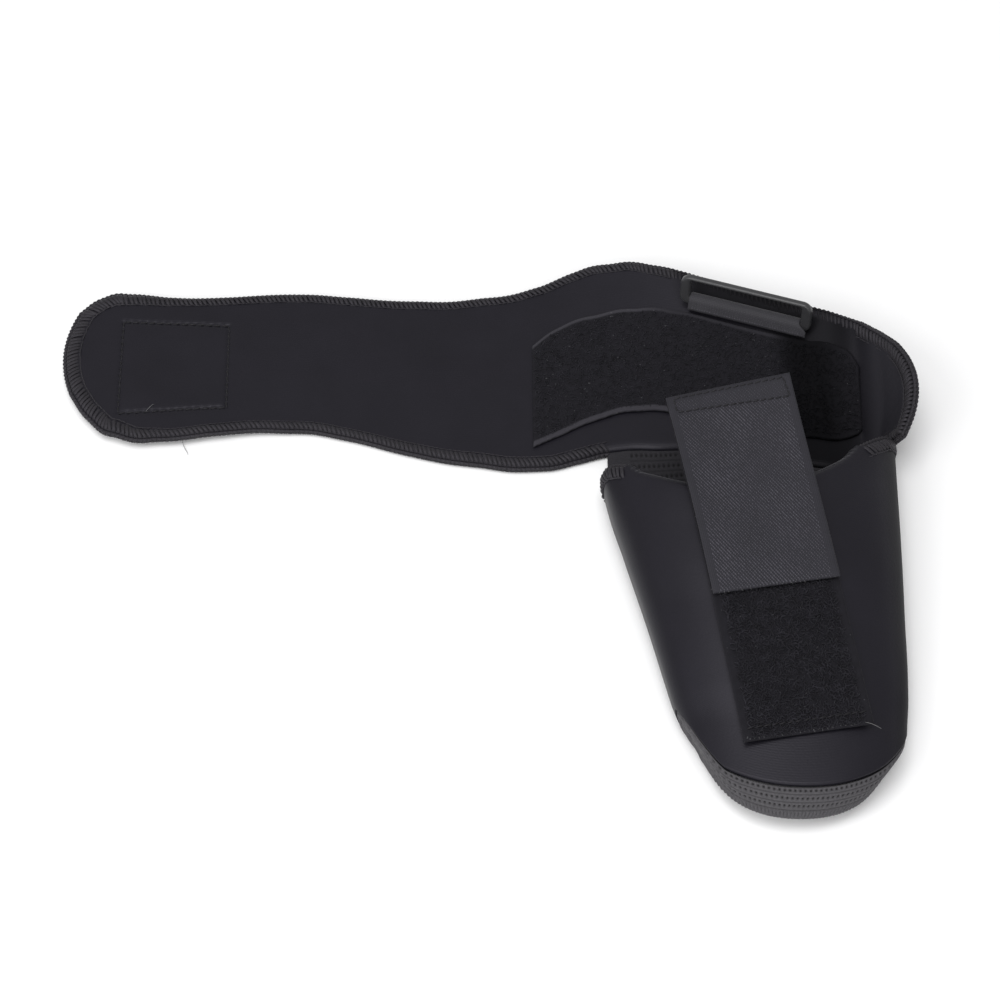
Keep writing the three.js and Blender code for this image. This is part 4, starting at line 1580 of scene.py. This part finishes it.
def ring_mesh():
    outer = rounded_rectangle(RING.length / 2, -BAR.radius, RING.reach, CORNER.foot, CORNER.outer)
    slot_half = RING.length / 2 - RING.side
    inner = rounded_rectangle(slot_half, BAR.radius, RING.reach - RING.top, CORNER.slot, CORNER.slot)
    wide = np.linalg.norm(inner - outer, axis=1)
    inward = (inner - outer) / wide[:, None]
    sections = np.stack([bar_section(w, RING.thick, RING.edge) for w in wide])
    flat = outer[:, None] + inward[:, None] * sections[..., :1]
    spots = np.concatenate([flat, sections[..., 1:]], axis=-1)
    rows, cols = spots.shape[:2]
    i, j = np.meshgrid(np.arange(rows), np.arange(cols), indexing="ij")
    ahead, beside = (i + 1) % rows, (j + 1) % cols
    corners = [i * cols + j, i * cols + beside, ahead * cols + beside, ahead * cols + j]
    quads = np.stack(corners, axis=-1)
    mesh = bpy.data.meshes.new("ring_frame")
    placed = bar_centre + spots.reshape(-1, 3) @ np.stack([along_bar, ring_up, ring_face])
    mesh.from_pydata((placed * MM).tolist(), [], quads.reshape(-1, 4).tolist())
    work = bmesh.new()
    work.from_mesh(mesh)
    bmesh.ops.recalc_face_normals(work, faces=work.faces)
    work.to_mesh(mesh)
    work.free()
    mesh.shade_smooth()
    return mesh


add_piece("ring_frame", ring_mesh(), finish.plastic, body="ring", node="strap_ring")

# %% Tab
TAB = Sizes(left=(65.9, 80), right=(103.2, 66.3), width=36.8, lift=0.9)
tab_base = lifted(on_band, NEOPRENE / 2 + TAB.lift)
tab_middle = np.mean([tab_base(np.array(x), np.array(y)) for x, y in (TAB.left, TAB.right)], axis=0)
foot = np.mean([TAB.left, TAB.right], axis=0)
foot_normal = normals_of(on_band, np.array(foot[0]), np.array(foot[1]))
tab_back = unit(np.cross(foot_normal, along_bar))
tab_up = np.cross(along_bar, tab_back)
TAB_SPREAD = Sizes(wider=2.6, right=1.3, full_share=0.1, to_share=0.32)  # the tape widens below the ring
PLY = Sizes(front=(0.2, 1.9), under=(0.6, TAB_TAPE / 2))  # where the two plies end: how far back, how high
FOLD_INNER = BAR.radius + BAR.clearance
FOLD_MIDDLE = FOLD_INNER + TAB_TAPE / 2
TAB_HALF = TAB_TAPE / 2 - 0.1  # the tape is pressed a little thinner by its stitches


def tab_route():
    """The tape's middle line from the front ply's edge, over the bar and back under it to the front."""
    centre = np.array([BAR.back, FOLD_INNER + TAB_TAPE])
    start = np.array(PLY.front)
    toward = start - centre
    reach = np.linalg.norm(toward)
    leaves = math.atan2(toward[1], toward[0]) + 2 * math.pi - math.acos(FOLD_MIDDLE / reach)
    fold = arc_points(centre, FOLD_MIDDLE, leaves, -math.pi / 2, 26)
    front = np.linspace(start, fold[0], 8)[:-1]
    under = np.linspace(fold[-1], PLY.under, 8)[1:]
    return np.concatenate([front, fold, under])


def tab_sheet(u, v):
    route = tab_route()
    far = np.concatenate([[0], np.cumsum(np.linalg.norm(np.diff(route, axis=0), axis=1))])
    back, rise = (np.interp(v * far[-1], far, route[:, k]) for k in (0, 1))
    spread = 1 - smooth(TAB_SPREAD.full_share, TAB_SPREAD.to_share, v)
    side = (u - 0.5) * (TAB.width + TAB_SPREAD.wider * spread) + TAB_SPREAD.right * spread
    return (
        tab_middle
        + side[..., None] * along_bar
        + back[..., None] * tab_back
        + rise[..., None] * tab_up
    )


tab_mesh = sheet_mesh(
    "tab_fold",
    tab_sheet,
    edged(30, TAB.width, 0.4),
    edged(70, 22, 0.4),
    (-TAB_HALF, TAB_HALF),
    rim=0.45,
)
tab = add_piece("tab_fold", tab_mesh, finish.tab, node="ring_tab")

# %% Dots on the tab
tab_face = lifted(tab_sheet, TAB_HALF)
TAB_ROWS = {0.06: 1.0, 0.1: 0.5, 0.15: 0.6, 0.2: 0.5, 0.25: 0.45}  # place down the ply, size of the dots
TAB_DOT = Sizes(pitch=0.85, radius=0.14, sides=4, uneven=12, smallest=0.5, largest=1.2)
tab_rows = [stitch_sides(tab_face, [(0.03, v), (0.97, v)], TAB_DOT.pitch) for v in TAB_ROWS]
dot_size = np.repeat(list(TAB_ROWS.values()), [len(row[0]) for row in tab_rows])
dot_size = dot_size * np.random.default_rng(9).uniform(TAB_DOT.smallest, TAB_DOT.largest, len(dot_size))
tab_stitches = sew(
    "tab_stitches",
    seam_points("tab_seam", *joined(tab_rows), dot_size),
    thread_path("dot_path", [(-0.25, 0, -0.05, 0.5), (0, 0, 0.04, 1), (0.25, 0, -0.05, 0.5)]),
    TAB_DOT,
    seed=6,
    material=finish.roots,
)
tab_anchor = tab_middle - along_bar * TAB.width / 2
for piece in (tab, tab_stitches):
    (tab_anchor * MM).tolist()
    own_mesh(piece)

# %% [markdown]
# ## Loose threads
# Cut tape frays, and a few thread ends were left long. The frays are short bent threads laid along the two
# cut edges of the strap at random angles by the seam tree. A tree could place the three long ends too, but
# each lies where the photo shows it, so they are drawn one by one.

# %% Frays and thread ends
FRAY = Sizes(pitch=1.3, radius=0.09, sides=4, uneven=38, smallest=0.15, largest=0.7)
FRAY_SUNK = 0.3  # the hook tape frays below its face
LOOSE_END = Sizes(radius=0.085, sides=5, uneven=0, thin=0.6)
cut_edges = [
    line_on(lifted(hook_at, HOOK_FACE - FRAY_SUNK), [(0.03, 0.004), (0.97, 0.004)]),
    line_on(lifted(strap_at, STRAP_GROUND), [(0.03, 0.006), (0.97, 0.006)]),
]
fray_seam = joined([along_line(*edge, FRAY.pitch) for edge in cut_edges])
fray_size = np.random.default_rng(7).uniform(FRAY.smallest, FRAY.largest, len(fray_seam[0]))
fray = [(0, 0.4, 0, 1), (0.1, -0.3, 0.15, 1), (0.4, -0.8, 0.12, 0.8), (0.55, -1.2, -0.1, 0.6)]
strap_frays = sew(
    "strap_frays",
    seam_points("fray_seam", *fray_seam, fray_size),
    thread_path("fray_path", fray),
    FRAY,
    seed=51,
    material=finish.loose,
)


def drawn_threads(name, *strands):
    """Threads drawn where they lie, each a list of points in mm, thinner at both ends."""
    paths = []
    for line in strands:
        thick = [LOOSE_END.thin, *[1] * (len(line) - 2), LOOSE_END.thin]
        paths.append([(*spot, share) for spot, share in zip(line, thick)])
    start = seam_points("thread_start", np.zeros((1, 3)), np.array([[1.0, 0, 0]]), np.array([[0, 0, 1.0]]))
    path = thread_path("drawn_path", *paths)
    return sew(name, start, path, LOOSE_END, seed=1, material=finish.loose)


hair = [(-94.6, 33.2, 1.2), (-94.2, 31.8, 0.5), (-93.5, 30.4, 0.25), (-92.8, 29.2, 0.2), (-92.5, 28.2, 0.2)]
tail = [(-106.6, 41.7, 4.9), (-105.6, 42.6, 5.5), (-104.8, 43.6, 5.6), (-104.0, 44.5, 5.4)]
end_spots = [(0.93, 0.006, 1.3), (0.97, 0.0, 1.4), (1.01, -0.007, 1.0), (1.045, -0.014, 0.4)]
end = [lifted(strap_at, rise)(np.array(a), np.array(b)) for a, b, rise in end_spots]
band_ends = drawn_threads("band_thread_ends", hair, tail)
strap_end = drawn_threads("strap_thread_end", end)

# %% [markdown]

# %% [markdown]
# ## Floor and lights
# A white floor and three large soft lamps: one overhead, one at the front left and a low one in front, with
# an even white sky. One lamp would leave hard shadows, which the photo doesn't have.


# %% Stage
FLOOR_HALF = 6.0


def add_floor():
    mesh = bpy.data.meshes.new("floor")
    corners = [(x * FLOOR_HALF, y * FLOOR_HALF, 0) for x, y in ((-1, -1), (1, -1), (1, 1), (-1, 1))]
    mesh.from_pydata(corners, [], [(0, 1, 2, 3)])
    material, shader, place = new_finish("floor_paper", {"Roughness": 0.9, "Specular IOR Level": 0.1})
    feed(shader, Base_Color=noise(place, 3, 1).between((0.92, 0.92, 0.925), (0.94, 0.94, 0.942)))
    mesh.materials.append(material)
    floor = bpy.data.objects.new("floor", mesh)
    bpy.context.collection.objects.link(floor)


LAMPS = {
    # name: place in m, size in m, watts
    "top": ((-0.1, -0.2, 1.4), 0.8, 10.0),
    "left": ((-0.8, -0.6, 0.9), 0.7, 5.6),
    "front": ((0.0, -1.2, 0.6), 1.0, 5.5),
}
WORLD_LIGHT = 0.52


def add_lamps():
    for name, (place, size, watts) in LAMPS.items():
        data = bpy.data.lights.new(name, "AREA")
        data.size = size
        data.energy = watts
        lamp = bpy.data.objects.new(name, data)
        lamp.location = place
        lamp.rotation_euler = (LOOK_AT - Vector(place)).to_track_quat("-Z", "Y").to_euler()
        bpy.context.collection.objects.link(lamp)
    world = bpy.data.worlds.new("studio")
    world.use_nodes = True
    world.node_tree.nodes["Background"].inputs["Color"].default_value = (1, 1, 1, 1)
    world.node_tree.nodes["Background"].inputs["Strength"].default_value = WORLD_LIGHT
    bpy.context.scene.world = world
    bpy.context.scene.view_settings.view_transform = "Standard"


add_floor()
add_lamps()
print("lamps:", ", ".join(LAMPS))
